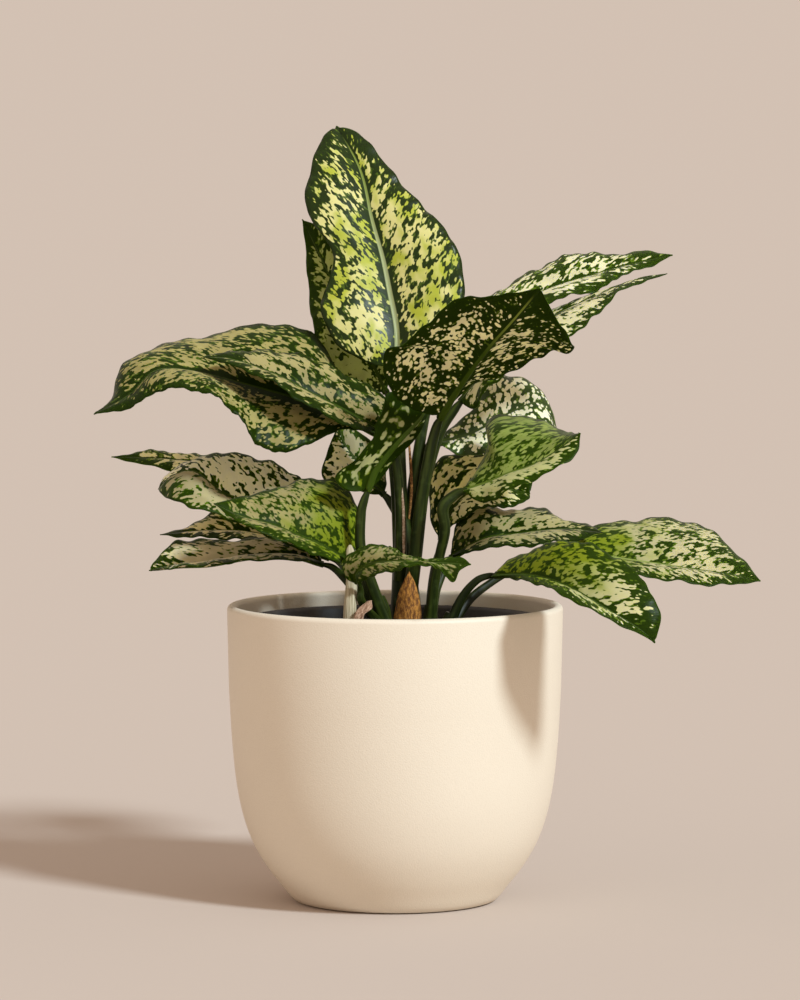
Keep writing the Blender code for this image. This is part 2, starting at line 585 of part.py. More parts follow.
def build_shoots():
    """Each shoot: a cane in the soil and the petioles that grow from it, one body."""
    green = material("petiole_green", (0.10, 0.17, 0.05), 0.42)
    for name, shoot in SHOOTS.items():
        route, radii = rooted(shoot["root"], shoot["cane"])
        cane = add_object(name, stalk_mesh(name, route, radii, CANE_RINGS), green)
        petioles = []
        for leaf, stretch in shoot.items():
            if leaf not in LEAVES:
                continue
            route, radii = petiole_route(leaf, stretch)
            label = f"{name}_{leaf}"
            rings = 2 * len(route) - 1
            petioles.append(add_object(label, stalk_mesh(label, route, radii, rings), green))
        fuse(cane, petioles)
        cane.data.set_sharp_from_angle(angle=math.radians(CREASE_ANGLE))


def build_leaves():
    """Every leaf blade, with its thick midrib."""
    patterned = material("patterned_leaf", (0.30, 0.36, 0.15), 0.38)
    for name, outline in LEAVES.items():
        mesh = blade_mesh(name, outline, BLADE_ROWS, BLADE_THICKNESS, MIDRIB_THICKNESS, BASE_HALF_WIDTH)
        add_object(name, mesh, patterned)


def build_dry_pieces():
    """The dead pieces at the soil: a pale stalk, the brown sheath and the pinkish leaf end."""
    route, radii = rooted(DRY_STALK_ROOT, DRY_STALK)
    stalk = stalk_mesh("dry_stalk", route, radii, DRY_STALK_RINGS)
    add_object("dry_stalk", stalk, material("pale_straw", (0.55, 0.48, 0.32), 0.7))
    finishes = {"dry_sheath": material("brown_sheath", (0.30, 0.14, 0.05), 0.75),
                "dry_scrap": material("pink_straw", (0.52, 0.32, 0.22), 0.75)}
    for name, outline in DRY_BLADES.items():
        mesh = blade_mesh(name, outline, DRY_ROWS, DRY_THICKNESS, DRY_RIDGE, DRY_BASE_HALF_WIDTH)
        add_object(name, mesh, finishes[name])


for old in list(bpy.data.objects):
    bpy.data.objects.remove(old)
build_pot()
build_grow_pot()
build_soil()
build_shoots()
build_leaves()
build_dry_pieces()
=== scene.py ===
"""The looks of a potted Chinese evergreen: its patterned leaves, petioles and canes, the soil, the nursery
pot and the cream cachepot. The frame holds the plain solids, and each piece here takes the place of one,
apart from two dry margins that only the looks have.

Lengths in the outlines are millimetres, and MM turns them into metres. +Z is up, and -Y faces the camera.
"""
import math

import bpy
import numpy as np
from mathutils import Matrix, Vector, noise


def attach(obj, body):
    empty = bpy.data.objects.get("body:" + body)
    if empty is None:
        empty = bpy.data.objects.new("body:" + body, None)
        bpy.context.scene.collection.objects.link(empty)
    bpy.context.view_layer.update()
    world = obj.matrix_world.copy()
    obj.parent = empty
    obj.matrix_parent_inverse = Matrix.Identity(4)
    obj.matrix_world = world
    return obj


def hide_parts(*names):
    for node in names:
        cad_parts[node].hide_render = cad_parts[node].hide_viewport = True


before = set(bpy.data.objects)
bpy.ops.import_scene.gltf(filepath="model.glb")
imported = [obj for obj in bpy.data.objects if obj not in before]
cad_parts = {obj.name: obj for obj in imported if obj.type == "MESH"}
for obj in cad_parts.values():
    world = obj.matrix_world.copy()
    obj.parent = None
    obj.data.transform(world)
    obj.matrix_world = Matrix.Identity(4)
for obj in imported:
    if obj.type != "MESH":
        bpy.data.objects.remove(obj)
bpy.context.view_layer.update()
MM = 0.001
bpy.ops.object.select_all(action="DESELECT")


# The studio. The camera stands 2.5 m in front of the pot, level with the top leaf, and looks slightly
# down. A wide paper floor runs into air of its own tone, so that no edge shows. The key light falls from
# the right front, cooler than the air and about as soft as that of a lamp behind a paper screen.
CAMERA_DISTANCE = 2500 * MM
CAMERA_HEIGHT = 396 * MM
AIM = Vector((2.8 * MM, 0.0, 227 * MM))
FOCAL_LENGTH = 159.3
SENSOR_HEIGHT = 36.0
FLOOR_RADIUS = 40.0
FLOOR_SIDES = 96
PAPER_TONE = (0.65, 0.535, 0.452)
KEY_TURN = 45.0
KEY_HEIGHT = 38.0
KEY_SOFTNESS = 9.0
KEY_STRENGTH = 3.0
KEY_TONE = (0.80, 0.92, 1.0)

drop = CAMERA_HEIGHT - AIM.z
level_distance = math.sqrt(CAMERA_DISTANCE**2 - drop**2)
bpy.ops.object.camera_add(location=(AIM.x, -level_distance, CAMERA_HEIGHT))
camera = bpy.context.object
camera.rotation_euler = (AIM - camera.location).to_track_quat("-Z", "Y").to_euler()
camera.data.sensor_fit = "VERTICAL"
camera.data.sensor_height = SENSOR_HEIGHT
camera.data.lens = FOCAL_LENGTH
bpy.context.scene.camera = camera
bpy.context.scene.view_settings.view_transform = "Standard"


class Wire:
    """A value in a material's node tree, so that shader maths reads as plain arithmetic."""

    def __init__(self, paint, socket):
        self.paint = paint
        self.socket = socket

    def math(self, operation, *others):
        return self.paint.add("Math", [self, *others], operation=operation)

    def __add__(self, other):
        return self.math("ADD", other)

    def __radd__(self, other):
        return self.math("ADD", other)

    def __sub__(self, other):
        return self.math("SUBTRACT", other)

    def __rsub__(self, other):
        return self.paint.add("Math", [other, self], operation="SUBTRACT")

    def __mul__(self, other):
        return self.math("MULTIPLY", other)

    def __rmul__(self, other):
        return self.math("MULTIPLY", other)

    def __truediv__(self, other):
        return self.math("DIVIDE", other)

    def __rtruediv__(self, other):
        return self.paint.add("Math", [other, self], operation="DIVIDE")


class Paint:
    """A material and its node tree. The one method add makes every node."""

    def __init__(self, name, roughness=0.5, **uniform):
        self.material = bpy.data.materials.new(name)
        self.material.use_nodes = True
        self.nodes = self.material.node_tree.nodes
        self.shader = self.nodes["Principled BSDF"]
        self.shader.inputs["Roughness"].default_value = roughness
        for socket, value in uniform.items():
            self.shader.inputs[socket.replace("_", " ")].default_value = value

    def feed(self, socket, value):
        """Link a value to a socket, or set the socket where the value is a plain number or colour."""
        if isinstance(value, Wire):
            self.material.node_tree.links.new(value.socket, socket)
        elif isinstance(value, tuple) and len(value) == 3 and socket.type == "RGBA":
            socket.default_value = (*value, 1.0)
        else:
            socket.default_value = value

    def add(self, kind, inputs=(), output=0, **settings):
        """Any node: its settings first, then its sockets' values or links, by name or in order."""
        node = self.nodes.new("ShaderNode" + kind)
        for name, value in settings.items():
            setattr(node, name, value)
        pairs = inputs.items() if isinstance(inputs, dict) else enumerate(inputs)
        for key, value in pairs:
            self.feed(node.inputs[key], value)
        return Wire(self, node.outputs[output])

    def mix(self, share, first, second):
        """A colour between two colours."""
        return self.add("Mix", {0: share, 6: first, 7: second}, output=2, data_type="RGBA")

    def rise(self, value, low, high):
        """0 below low, 1 above high, and smooth between them."""
        return self.add("MapRange", {"Value": value, "From Min": low, "From Max": high},
                        interpolation_type="SMOOTHSTEP")

    def place(self, across, along, apart):
        """A place to read a pattern at."""
        return self.add("CombineXYZ", [across, along, apart])

    def grain(self, place, scale=1.0, detail=2.0, roughness=0.5):
        """Soft random values about 0.5."""
        return self.add("TexNoise", {"Vector": place, "Scale": scale, "Detail": detail,
                                     "Roughness": roughness})

    def cells(self, place):
        """The distance to the nearest of points scattered about one apart."""
        return self.add("TexVoronoi", {"Vector": place, "Scale": 1.0}, output="Distance")

    def own_place(self):
        """A point of the piece itself, in metres."""
        return self.add("TexCoord", output="Object")

    def map_pair(self, name):
        """The two values that a piece's UV map of that name holds."""
        parts = [self.add("UVMap", output="UV", uv_map=name)]
        return (self.add("SeparateXYZ", parts, output=0), self.add("SeparateXYZ", parts, output=1))

    def colour(self, value):
        self.feed(self.shader.inputs["Base Color"], value)

    def rough(self, value):
        self.feed(self.shader.inputs["Roughness"], value)

    def relief(self, height, depth):
        """A small relief, depth metres deep, that only tilts the light."""
        bump = self.add("Bump", {"Height": height, "Strength": 1.0, "Distance": depth}, output="Normal")
        self.feed(self.shader.inputs["Normal"], bump)


bpy.ops.mesh.primitive_circle_add(vertices=FLOOR_SIDES, radius=FLOOR_RADIUS, fill_type="NGON")
paper_floor = bpy.context.object
paper_floor.name = "paper_floor"
paper = Paint("studio_paper", roughness=0.9, Specular_IOR_Level=0.0)
# Under the air and the key light together, a floor of this colour shows the air's own tone
fallen = [KEY_STRENGTH * math.sin(math.radians(KEY_HEIGHT)) / math.pi * tone for tone in KEY_TONE]
paper.colour(tuple(tone / (tone + key) for tone, key in zip(PAPER_TONE, fallen)))
paper_floor.data.materials.append(paper.material)

bpy.ops.object.light_add(type="SUN", location=(0.0, 0.0, 2.0))
key_light = bpy.context.object
key_light.name = "key_light"
key_light.rotation_euler = (math.radians(90 - KEY_HEIGHT), 0.0, math.radians(KEY_TURN))
key_light.data.energy = KEY_STRENGTH
key_light.data.angle = math.radians(KEY_SOFTNESS)
key_light.data.color = KEY_TONE
world = bpy.data.worlds.new("studio_air")
world.use_nodes = True
world.node_tree.nodes["Background"].inputs["Color"].default_value = (*PAPER_TONE, 1.0)
world.node_tree.nodes["Background"].inputs["Strength"].default_value = 1.0
bpy.context.scene.world = world


# The cachepot: thick stoneware, thrown round, with a rounded lip and a flat foot. Its cream slip is matt
# and has the fine stipple of a sprayed coat. It is open above and closed below.
POT_SIDES = 160
RIM_RADIUS = 95.0
FOOT_RADIUS = 55.0
POT_HEIGHT = 168.0
POT_WALL = 5.6
POT_FLOOR = 9.0
POT_POINTS = 30
LIP_POINTS = 15
POT_PROFILE = [(0, 0), (3.5, 1.6), (9.5, 9), (18, 20), (26, 34), (31.5, 50), (35, 68), (37.4, 92), (39, 120)]
SLIP_TONES = ((0.82, 0.725, 0.58), (0.86, 0.765, 0.62))
STIPPLE_TONE = (0.66, 0.54, 0.40)
STIPPLE_DEPTH = 0.12
SHARP_ANGLE = math.radians(50)


def knots_of(points):
    """How far along the curve each point lies, from 0 to 1. Short steps count for a little more."""
    steps = np.linalg.norm(np.diff(np.asarray(points, float), axis=0), axis=1) ** 0.75
    knots = np.concatenate([[0.0], np.cumsum(steps)])
    return knots / knots[-1]


def smooth_curve(points, along):
    """Places on the smooth curve through the points, at distances along it from 0 to 1."""
    points = np.asarray(points, float)
    knots = knots_of(points)
    slopes = np.diff(points, axis=0) / np.diff(knots)[:, None]
    spans = np.diff(knots)[:, None]
    inner = (slopes[:-1] * spans[:-1] + slopes[1:] * spans[1:]) / (spans[:-1] + spans[1:])
    tangents = np.concatenate([slopes[:1], inner, slopes[-1:]])
    first = np.clip(np.searchsorted(knots, along, side="right") - 1, 0, len(points) - 2)
    span = spans[first]
    s = (along - knots[first])[:, None] / span
    return ((2 * s**3 - 3 * s**2 + 1) * points[first] + (s**3 - 2 * s**2 + s) * span * tangents[first]
            + (3 * s**2 - 2 * s**3) * points[first + 1] + (s**3 - s**2) * span * tangents[first + 1])


def arc(centre, radius, start, end, count):
    """Points on a circular arc of a profile, at angles in degrees from the outward direction."""
    angles = np.radians(np.linspace(start, end, count))
    return [(centre[0] + radius * math.cos(a), centre[1] + radius * math.sin(a)) for a in angles]


def thrown(name, profile, sides):
    """A body raised ring by ring from its foot's circle, as on a wheel, and closed at both ends."""
    radius, height = profile[0]
    bpy.ops.mesh.primitive_circle_add(vertices=sides, radius=radius * MM, location=(0, 0, height * MM),
                                      fill_type="NGON")
    piece = bpy.context.object
    piece.name = name
    bpy.ops.object.transform_apply(location=True)
    bpy.ops.object.mode_set(mode="EDIT")
    bpy.ops.mesh.select_all(action="SELECT")
    for (radius, height), (wider, higher) in zip(profile, profile[1:]):
        bpy.ops.mesh.extrude_region_move(TRANSFORM_OT_translate={"value": (0, 0, (higher - height) * MM)})
        bpy.ops.transform.resize(value=(wider / radius, wider / radius, 1), center_override=(0, 0, 0))
    bpy.ops.mesh.select_all(action="SELECT")
    bpy.ops.mesh.normals_make_consistent(inside=False)
    bpy.ops.object.mode_set(mode="OBJECT")
    bpy.ops.object.shade_smooth_by_angle(angle=SHARP_ANGLE)
    return piece


def keep(piece, body, node):
    """Say what a finished piece rides on, and hide the solid that it stands for."""
    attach(piece, body)
    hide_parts(node)


outside = smooth_curve([(FOOT_RADIUS + out, 0, up) for out, up in POT_PROFILE], np.linspace(0, 1, POT_POINTS))
outside = [(float(x), float(z)) for x, _, z in outside]
lip = arc((RIM_RADIUS - POT_WALL / 2, POT_HEIGHT - POT_WALL / 2), POT_WALL / 2, 0, 180, LIP_POINTS)
inside = [(radius - POT_WALL, height) for radius, height in reversed(outside) if height > 2 * POT_FLOOR]
pot_floor = [(FOOT_RADIUS + 2, POT_FLOOR + 1.5), (FOOT_RADIUS - 3, POT_FLOOR), (1.0, POT_FLOOR)]
foot_ring = [(1.0, 0.0), (FOOT_RADIUS - 4, 0.0), (FOOT_RADIUS - 0.8, 0.0)]
cachepot = thrown("cachepot", [*foot_ring, *outside[1:], *lip, *inside, *pot_floor], POT_SIDES)

glaze = Paint("cream_stoneware", roughness=0.55)
spot = glaze.own_place()
stipple = glaze.grain(spot, scale=1300.0)
cloud = glaze.grain(spot, scale=14.0, detail=3.0)
cream = glaze.mix(cloud, *SLIP_TONES)
glaze.colour(glaze.mix(glaze.rise(stipple, 0.30, 0.62), glaze.mix(0.12, cream, STIPPLE_TONE), cream))
glaze.rough(0.46 + 0.16 * cloud)
glaze.relief(stipple, STIPPLE_DEPTH * MM)
cachepot.data.materials.append(glaze.material)
keep(cachepot, "root", "pot")


# The nursery pot: thin black plastic, moulded with a taper, a rolled rim and drain holes in its floor. It
# stands loose on the cachepot's floor, and only its rim shows.
GROW_SIDES = 120
GROW_RIM_RADIUS = 86.0
GROW_FOOT_RADIUS = 52.0
GROW_HEIGHT = 160.0
GROW_LOW = POT_FLOOR + 0.3
GROW_WALL = 1.4
GROW_ROLL = 3.0
DRAIN_HOLES = 6
DRAIN_RADIUS = 4.0
DRAIN_CIRCLE = 34.0
DRAIN_SIDES = 20
DRAIN_TURN = math.radians(5)
DRILL_LENGTH = 8.0
PLASTIC_TONES = ((0.012, 0.012, 0.013), (0.05, 0.042, 0.034))

roll_low = GROW_HEIGHT - 9
grow_profile = [(1.0, GROW_LOW), (GROW_FOOT_RADIUS - 1.2, GROW_LOW), (GROW_FOOT_RADIUS, GROW_LOW + 1.0),
                (GROW_RIM_RADIUS - GROW_ROLL, roll_low), (GROW_RIM_RADIUS - 0.6, roll_low),
                (GROW_RIM_RADIUS, roll_low + 0.8), (GROW_RIM_RADIUS, GROW_HEIGHT - 1.0),
                (GROW_RIM_RADIUS - 0.4, GROW_HEIGHT - 0.3), (GROW_RIM_RADIUS - 1.0, GROW_HEIGHT),
                (GROW_RIM_RADIUS - GROW_ROLL, GROW_HEIGHT - 0.2),
                (GROW_RIM_RADIUS - GROW_ROLL - GROW_WALL, GROW_HEIGHT - 2),
                (GROW_FOOT_RADIUS - GROW_WALL, GROW_LOW + GROW_WALL), (1.0, GROW_LOW + GROW_WALL)]
nursery_pot = thrown("nursery_pot", grow_profile, GROW_SIDES)
for index in range(DRAIN_HOLES):
    angle = index * math.tau / DRAIN_HOLES + DRAIN_TURN
    place = (DRAIN_CIRCLE * MM * math.cos(angle), DRAIN_CIRCLE * MM * math.sin(angle), GROW_LOW * MM)
    bpy.ops.mesh.primitive_cylinder_add(vertices=DRAIN_SIDES, radius=DRAIN_RADIUS * MM,
                                        depth=DRILL_LENGTH * MM, location=place)
    cutter = bpy.context.object
    bpy.ops.object.select_all(action="DESELECT")
    nursery_pot.select_set(True)
    bpy.context.view_layer.objects.active = nursery_pot
    hole = nursery_pot.modifiers.new("drain_hole", "BOOLEAN")
    hole.operation = "DIFFERENCE"
    hole.object = cutter
    bpy.ops.object.modifier_apply(modifier=hole.name)
    bpy.data.objects.remove(cutter)

plastic = Paint("black_moulded_plastic", roughness=0.5)
dust = plastic.grain(plastic.own_place(), scale=60.0, detail=4.0)
plastic.colour(plastic.mix(plastic.rise(dust, 0.45, 0.75), *PLASTIC_TONES))
plastic.rough(0.38 + 0.3 * dust)
plastic.relief(plastic.grain(plastic.own_place(), scale=1400.0), 0.05 * MM)
nursery_pot.data.materials.append(plastic.material)
keep(nursery_pot, "root", "grow_pot")


# The soil: dark peat with bark crumbs, filled to just under the nursery pot's rim. It is a solid body with
# a rough top, and loose crumbs lie on it.
SOIL_TOP = 152.0
SOIL_CROWN = 1.6
SOIL_RINGS = 60
SOIL_ROUGHNESS = 1.5
SOIL_SETTLED = 0.4
CRUMBS = 900
CRUMB_LEAST = 0.7
CRUMB_SPREAD = 1.5
PEAT_TONES = ((0.012, 0.008, 0.006), (0.085, 0.052, 0.030))

taper = (GROW_RIM_RADIUS - GROW_ROLL - GROW_FOOT_RADIUS) / (GROW_HEIGHT - 2 - GROW_LOW - GROW_WALL)
soil_foot = GROW_FOOT_RADIUS - GROW_WALL - 0.5
soil_edge = GROW_FOOT_RADIUS - GROW_WALL + taper * (SOIL_TOP - GROW_LOW - GROW_WALL) - 1.6
soil_profile = [(1.0, GROW_LOW + GROW_WALL + 0.3), (soil_foot, GROW_LOW + GROW_WALL + 0.3)]
for step in range(SOIL_RINGS):
    share = step / (SOIL_RINGS - 1)
    soil_profile.append((soil_edge * (1 - share) + 0.8 * share, SOIL_TOP - SOIL_CROWN * (1 - share) ** 2))
soil = thrown("soil_body", soil_profile, GROW_SIDES)
for point in soil.data.vertices:
    if point.co.z > (SOIL_TOP - SOIL_CROWN - 1) * MM:
        rough = noise.fractal(point.co * 160, 0.7, 2.0, 4)
        point.co.z += (SOIL_ROUGHNESS * rough - SOIL_SETTLED) * MM
bpy.ops.object.shade_flat()

chance = np.random.default_rng(7)
crumbs = []
bpy.ops.mesh.primitive_ico_sphere_add(subdivisions=1, radius=1.0)
crumb = bpy.context.object
for index in range(CRUMBS):
    far = (soil_edge - 2.5) * math.sqrt(chance.random()) * MM
    turn = chance.random() * math.tau
    size = (CRUMB_LEAST + CRUMB_SPREAD * chance.random() ** 3) * MM
    copy = crumb.copy()
    copy.data = crumb.data.copy()
    for point in copy.data.vertices:
        point.co *= 1 + 0.3 * (chance.random() - 0.5)
    copy.scale = (size * (0.8 + 0.9 * chance.random()), size, size * (0.5 + 0.4 * chance.random()))
    copy.rotation_euler = (0.6 * chance.random(), 0.6 * chance.random(), turn * 3)
    copy.location = (far * math.cos(turn), far * math.sin(turn), (SOIL_TOP + 0.2) * MM)
    bpy.context.scene.collection.objects.link(copy)
    crumbs.append(copy)
bpy.data.objects.remove(crumb)
bpy.ops.object.select_all(action="DESELECT")
for piece in crumbs:
    piece.select_set(True)
soil.select_set(True)
bpy.context.view_layer.objects.active = soil
bpy.ops.object.transform_apply(location=True, rotation=True, scale=True)
bpy.ops.object.join()

peat = Paint("peat", roughness=0.95)
speck = peat.grain(peat.own_place(), scale=420.0, detail=4.0, roughness=0.7)
peat.colour(peat.mix(peat.rise(speck, 0.35, 0.70), *PEAT_TONES))
peat.relief(speck, 0.8 * MM)
soil.data.materials.append(peat.material)
keep(soil, "root", "soil")


# The leaves. Each blade is one thick, waxy sheet along a fleshy midrib that stands out below. The margin
# waves a little, and each half bulges between the side veins, which slant forward from the midrib.
# An outline has its midrib from the base to the tip, and the left and right margins between those ends.
LEAVES = {
    "leaf_top": {
        "rib": [(1, 6, 301), (1, 14, 323), (-3, 24, 344), (-7, 34, 363), (-13, 45, 384), (-20, 62, 413),
                (-34, 78, 439)],
        "left": [(-17, 4, 305), (-34, 6, 316), (-42, 14, 337), (-35, 28, 363), (-51, 42, 392),
                 (-48, 58, 416), (-42, 70, 432)],
        "right": [(20, 2, 312), (36, 8, 330), (39, 18, 354), (31, 32, 376), (6, 54, 403), (-20, 74, 434)],
    },
    "leaf_back": {
        "rib": [(-5, 14, 287), (-19, 34, 316), (-35, 56, 347), (-54, 78, 385)],
        "left": [(-27, 30, 289), (-41, 32, 301), (-46, 33, 318), (-50, 54, 346), (-52, 68, 370)],
        "right": [(1, 34, 311), (-6, 54, 339), (-29, 74, 373)],
    },
    "leaf_left": {
        "rib": [(-6, -2, 263), (-33, -8, 277), (-59, -12, 286), (-87, -15, 294), (-115, -18, 301),
                (-134, -22, 301), (-148, -26, 288), (-168, -30, 277)],
        "left": [(-28, -18, 268), (-57, -34, 257), (-74, -42, 259), (-87, -46, 277), (-104, -52, 290),
                 (-130, -46, 291), (-147, -38, 281)],
        "right": [(-28, 8, 291), (-44, 22, 318), (-71, 30, 326), (-103, 30, 320), (-135, 20, 313),
                  (-153, 2, 304), (-160, -16, 284)],
    },
    "leaf_left_upper": {
        "rib": [(-9, -14, 268), (-32, -22, 281), (-47, -27, 289), (-68, -30, 300), (-92, -30, 308),
                (-107, -28, 309)],
        "left": [(-22, -30, 269), (-44, -42, 280), (-69, -44, 296), (-92, -38, 305)],
        "right": [(-5, -8, 285), (-25, -6, 297), (-48, -6, 308), (-73, -10, 312), (-97, -20, 311)],
    },
    "leaf_front": {
        "rib": [(25, -28, 275), (32, -38, 288), (41, -52, 302), (52, -70, 317), (63, -88, 330),
                (78, -112, 349)],
        "left": [(42, -34, 293), (60, -42, 299), (84, -60, 312), (98, -76, 315), (89, -92, 330)],
        "right": [(8, -34, 281), (-3, -46, 292), (-6, -60, 312), (8, -70, 320), (33, -92, 342),
                  (57, -104, 345)],
    },
    "leaf_upper_right": {
        "rib": [(32, 18, 311), (60, 24, 332), (88, 28, 346), (117, 30, 355), (140, 30, 361), (158, 28, 365)],
        "left": [(34, 34, 328), (54, 46, 341), (78, 52, 355), (95, 54, 363), (105, 53, 366), (123, 48, 365),
                 (143, 40, 367)],
        "right": [(48, 0, 314), (85, 5, 338), (116, 9, 346), (129, 16, 354), (144, 24, 358)],
    },
    "leaf_right_upper": {
        "rib": [(36, 2, 283), (59, 0, 311), (85, 1, 329), (115, 0, 343), (138, -2, 351), (153, -4, 355)],
        "left": [(47, 18, 304), (65, 26, 321), (94, 26, 334), (122, 16, 345), (141, 4, 353)],
        "right": [(44, -10, 279), (50, -18, 289), (64, -24, 301), (97, -32, 321), (111, -28, 331),
                  (124, -20, 344), (140, -11, 351)],
    },
    "leaf_right_back": {
        "rib": [(24, 14, 259), (43, 30, 263), (66, 50, 274), (84, 66, 279), (94, 80, 264)],
        "left": [(31, 28, 266), (45, 44, 277), (54, 60, 292), (64, 68, 295), (78, 76, 291), (90, 80, 278)],
        "right": [(34, 12, 253), (51, 24, 251), (72, 40, 253), (90, 64, 256)],
    },
    "leaf_right": {
        "rib": [(38, -32, 235), (52, -38, 240), (63, -42, 245), (75, -44, 249), (89, -44, 257),
                (103, -42, 267)],
        "left": [(44, -20, 243), (52, -6, 256), (52, 6, 271), (67, 8, 275), (85, 4, 271), (97, -10, 266)],
        "right": [(46, -42, 229), (55, -52, 231), (65, -57, 237), (75, -57, 242), (91, -54, 249),
                  (101, -48, 257)],
    },
    "leaf_centre_back": {
        "rib": [(26, 17, 203), (30, 21, 217), (40, 25, 228), (54, 27, 233), (68, 26, 231), (77, 23, 229)],
        "left": [(20, 24, 214), (20, 36, 236), (26, 42, 248), (37, 45, 252), (52, 46, 251), (67, 40, 246),
                 (78, 30, 238)],
        "right": [(33, 14, 212), (42, 9, 218), (54, 9, 223), (65, 13, 222), (76, 18, 226)],
    },
    "leaf_right_low_back": {
        "rib": [(31, 0, 195), (51, 4, 205), (67, 8, 207), (83, 10, 209), (99, 10, 210), (118, 8, 208)],
        "left": [(33, 9, 204), (36, 19, 218), (44, 27, 223), (65, 33, 220), (86, 36, 219), (96, 32, 214),
                 (111, 20, 211)],
        "right": [(39, -8, 198), (63, -16, 202), (81, -16, 203), (101, -6, 205)],
    },
    "leaf_far_right": {
        "rib": [(85, 14, 194), (111, 12, 195), (129, 11, 193), (164, 8, 188), (194, 4, 184), (207, 2, 181)],
        "left": [(94, 26, 202), (113, 38, 209), (135, 48, 212), (154, 52, 213), (177, 48, 209),
                 (196, 22, 194)],
        "right": [(100, 2, 189), (121, -8, 186), (146, -12, 184), (175, -12, 180), (195, -4, 180)],
    },
    "leaf_right_low": {
        "rib": [(55, -34, 188), (74, -62, 190), (94, -88, 186), (113, -104, 176), (133, -110, 164),
                (141, -110, 157)],
        "left": [(62, -28, 194), (76, -40, 202), (95, -60, 209), (114, -76, 205), (129, -90, 196),
                 (139, -102, 184), (144, -106, 170)],
        "right": [(65, -54, 187), (79, -90, 187), (93, -111, 182), (113, -120, 172), (133, -115, 162)],
    },
    "leaf_left_back": {
        "rib": [(-42, 34, 225), (-72, 42, 236), (-109, 46, 245), (-135, 46, 248), (-163, 44, 249)],
        "left": [(-60, 22, 226), (-89, 26, 234), (-117, 32, 240), (-146, 40, 245)],
        "right": [(-55, 48, 236), (-84, 58, 245), (-113, 58, 249), (-139, 54, 252)],
    },
    "leaf_left_middle": {
        "rib": [(-37, 0, 200), (-59, -2, 210), (-82, -4, 223), (-99, -6, 233), (-113, -8, 244),
                (-126, -4, 241), (-134, 2, 233)],
        "left": [(-53, -14, 200), (-81, -22, 213), (-103, -28, 222), (-117, -28, 226), (-130, -12, 230)],
        "right": [(-37, 10, 218), (-54, 16, 238), (-72, 18, 248), (-97, 16, 253), (-116, 8, 249),
                  (-130, 8, 240)],
    },
    "leaf_left_front": {
        "rib": [(-24, -22, 194), (-39, -32, 203), (-53, -40, 210), (-69, -48, 217), (-86, -52, 222),
                (-100, -56, 229)],
        "left": [(-32, -36, 195), (-52, -56, 204), (-69, -64, 212), (-85, -64, 219)],
        "right": [(-20, -12, 210), (-22, -6, 227), (-31, -4, 237), (-45, -6, 240), (-54, -14, 239),
                  (-64, -22, 236), (-83, -38, 232)],
    },
    "leaf_left_low_back": {
        "rib": [(-37, 24, 193), (-60, 26, 201), (-83, 26, 207), (-108, 24, 208), (-134, 20, 206)],
        "left": [(-54, 12, 195), (-82, 8, 203), (-102, 9, 205), (-116, 12, 205)],
        "right": [(-49, 38, 207), (-78, 44, 216), (-101, 42, 218), (-113, 34, 213), (-123, 30, 208)],
    },
    "leaf_left_low": {
        "rib": [(-40, -6, 192), (-59, -10, 197), (-82, -14, 196), (-104, -18, 192), (-121, -20, 191),
                (-138, -22, 189)],
        "left": [(-53, -26, 195), (-81, -38, 196), (-103, -42, 194), (-123, -38, 192)],
        "right": [(-47, 2, 200), (-71, 4, 205), (-99, 2, 204), (-119, -2, 205), (-128, -8, 201),
                  (-135, -16, 194)],
    },
    "leaf_small": {
        "rib": [(-21, -50, 183), (-22, -56, 190), (-13, -70, 197), (5, -90, 200), (19, -100, 200),
                (31, -108, 200), (41, -114, 200)],
        "left": [(-27, -49, 187), (-29, -50, 197), (-20, -54, 204), (-6, -66, 207), (3, -80, 204),
                 (16, -94, 201), (29, -102, 203), (37, -109, 203)],
        "right": [(-19, -58, 185), (-10, -77, 191), (4, -98, 196), (18, -104, 199), (25, -109, 196),
                  (31, -112, 190), (35, -115, 197)],
    },
    "leaf_centre": {
        "rib": [(-16, -30, 234), (-11, -30, 246), (1, -29, 261), (14, -26, 275), (20, -24, 285)],
        "left": [(-12, -26, 237), (3, -22, 254), (16, -20, 270)],
        "right": [(-28, -34, 235), (-33, -36, 242), (-24, -35, 251), (-13, -33, 263), (-9, -32, 274),
                  (-3, -28, 289)],
    },
    "leaf_centre_left": {
        "rib": [(-6, 9, 230), (-14, 12, 238), (-23, 15, 250), (-29, 17, 259), (-32, 18, 270)],
        "left": [(-14, 6, 230), (-36, 7, 236), (-42, 9, 241), (-39, 13, 252)],
        "right": [(-5, 15, 236), (-5, 21, 245), (-9, 23, 255), (-20, 22, 264)],
    },
}
BLADE_ROWS = 90
BLADE_COLUMNS = 40
BLADE_BULGE = 0.10
BLADE_THICKNESS = 0.8
EDGE_THICKNESS = 0.45
MIDRIB_THICKNESS = 2.0
MIDRIB_HALF_WIDTH = 1.5
MIDRIB_GROOVE = 0.35
BASE_HALF_WIDTH = 2.0
TIP_HALF_WIDTH = 0.3
VEIN_SLANT = 1.15
VEIN_SPACING = 9.0
QUILTING = 0.16
RIPPLE = 0.9
LOBE = 0.5
ROW_SPREAD = 0.95
BLOTCH_SIZE = (3.1, 2.9)
CLOUD_SIZE = (9, 8)
DOT_SIZE = 2.3
COVER_LEVEL = 0.515
VEINLET_SPACING = 1.7
TISSUE_RELIEF = 0.08
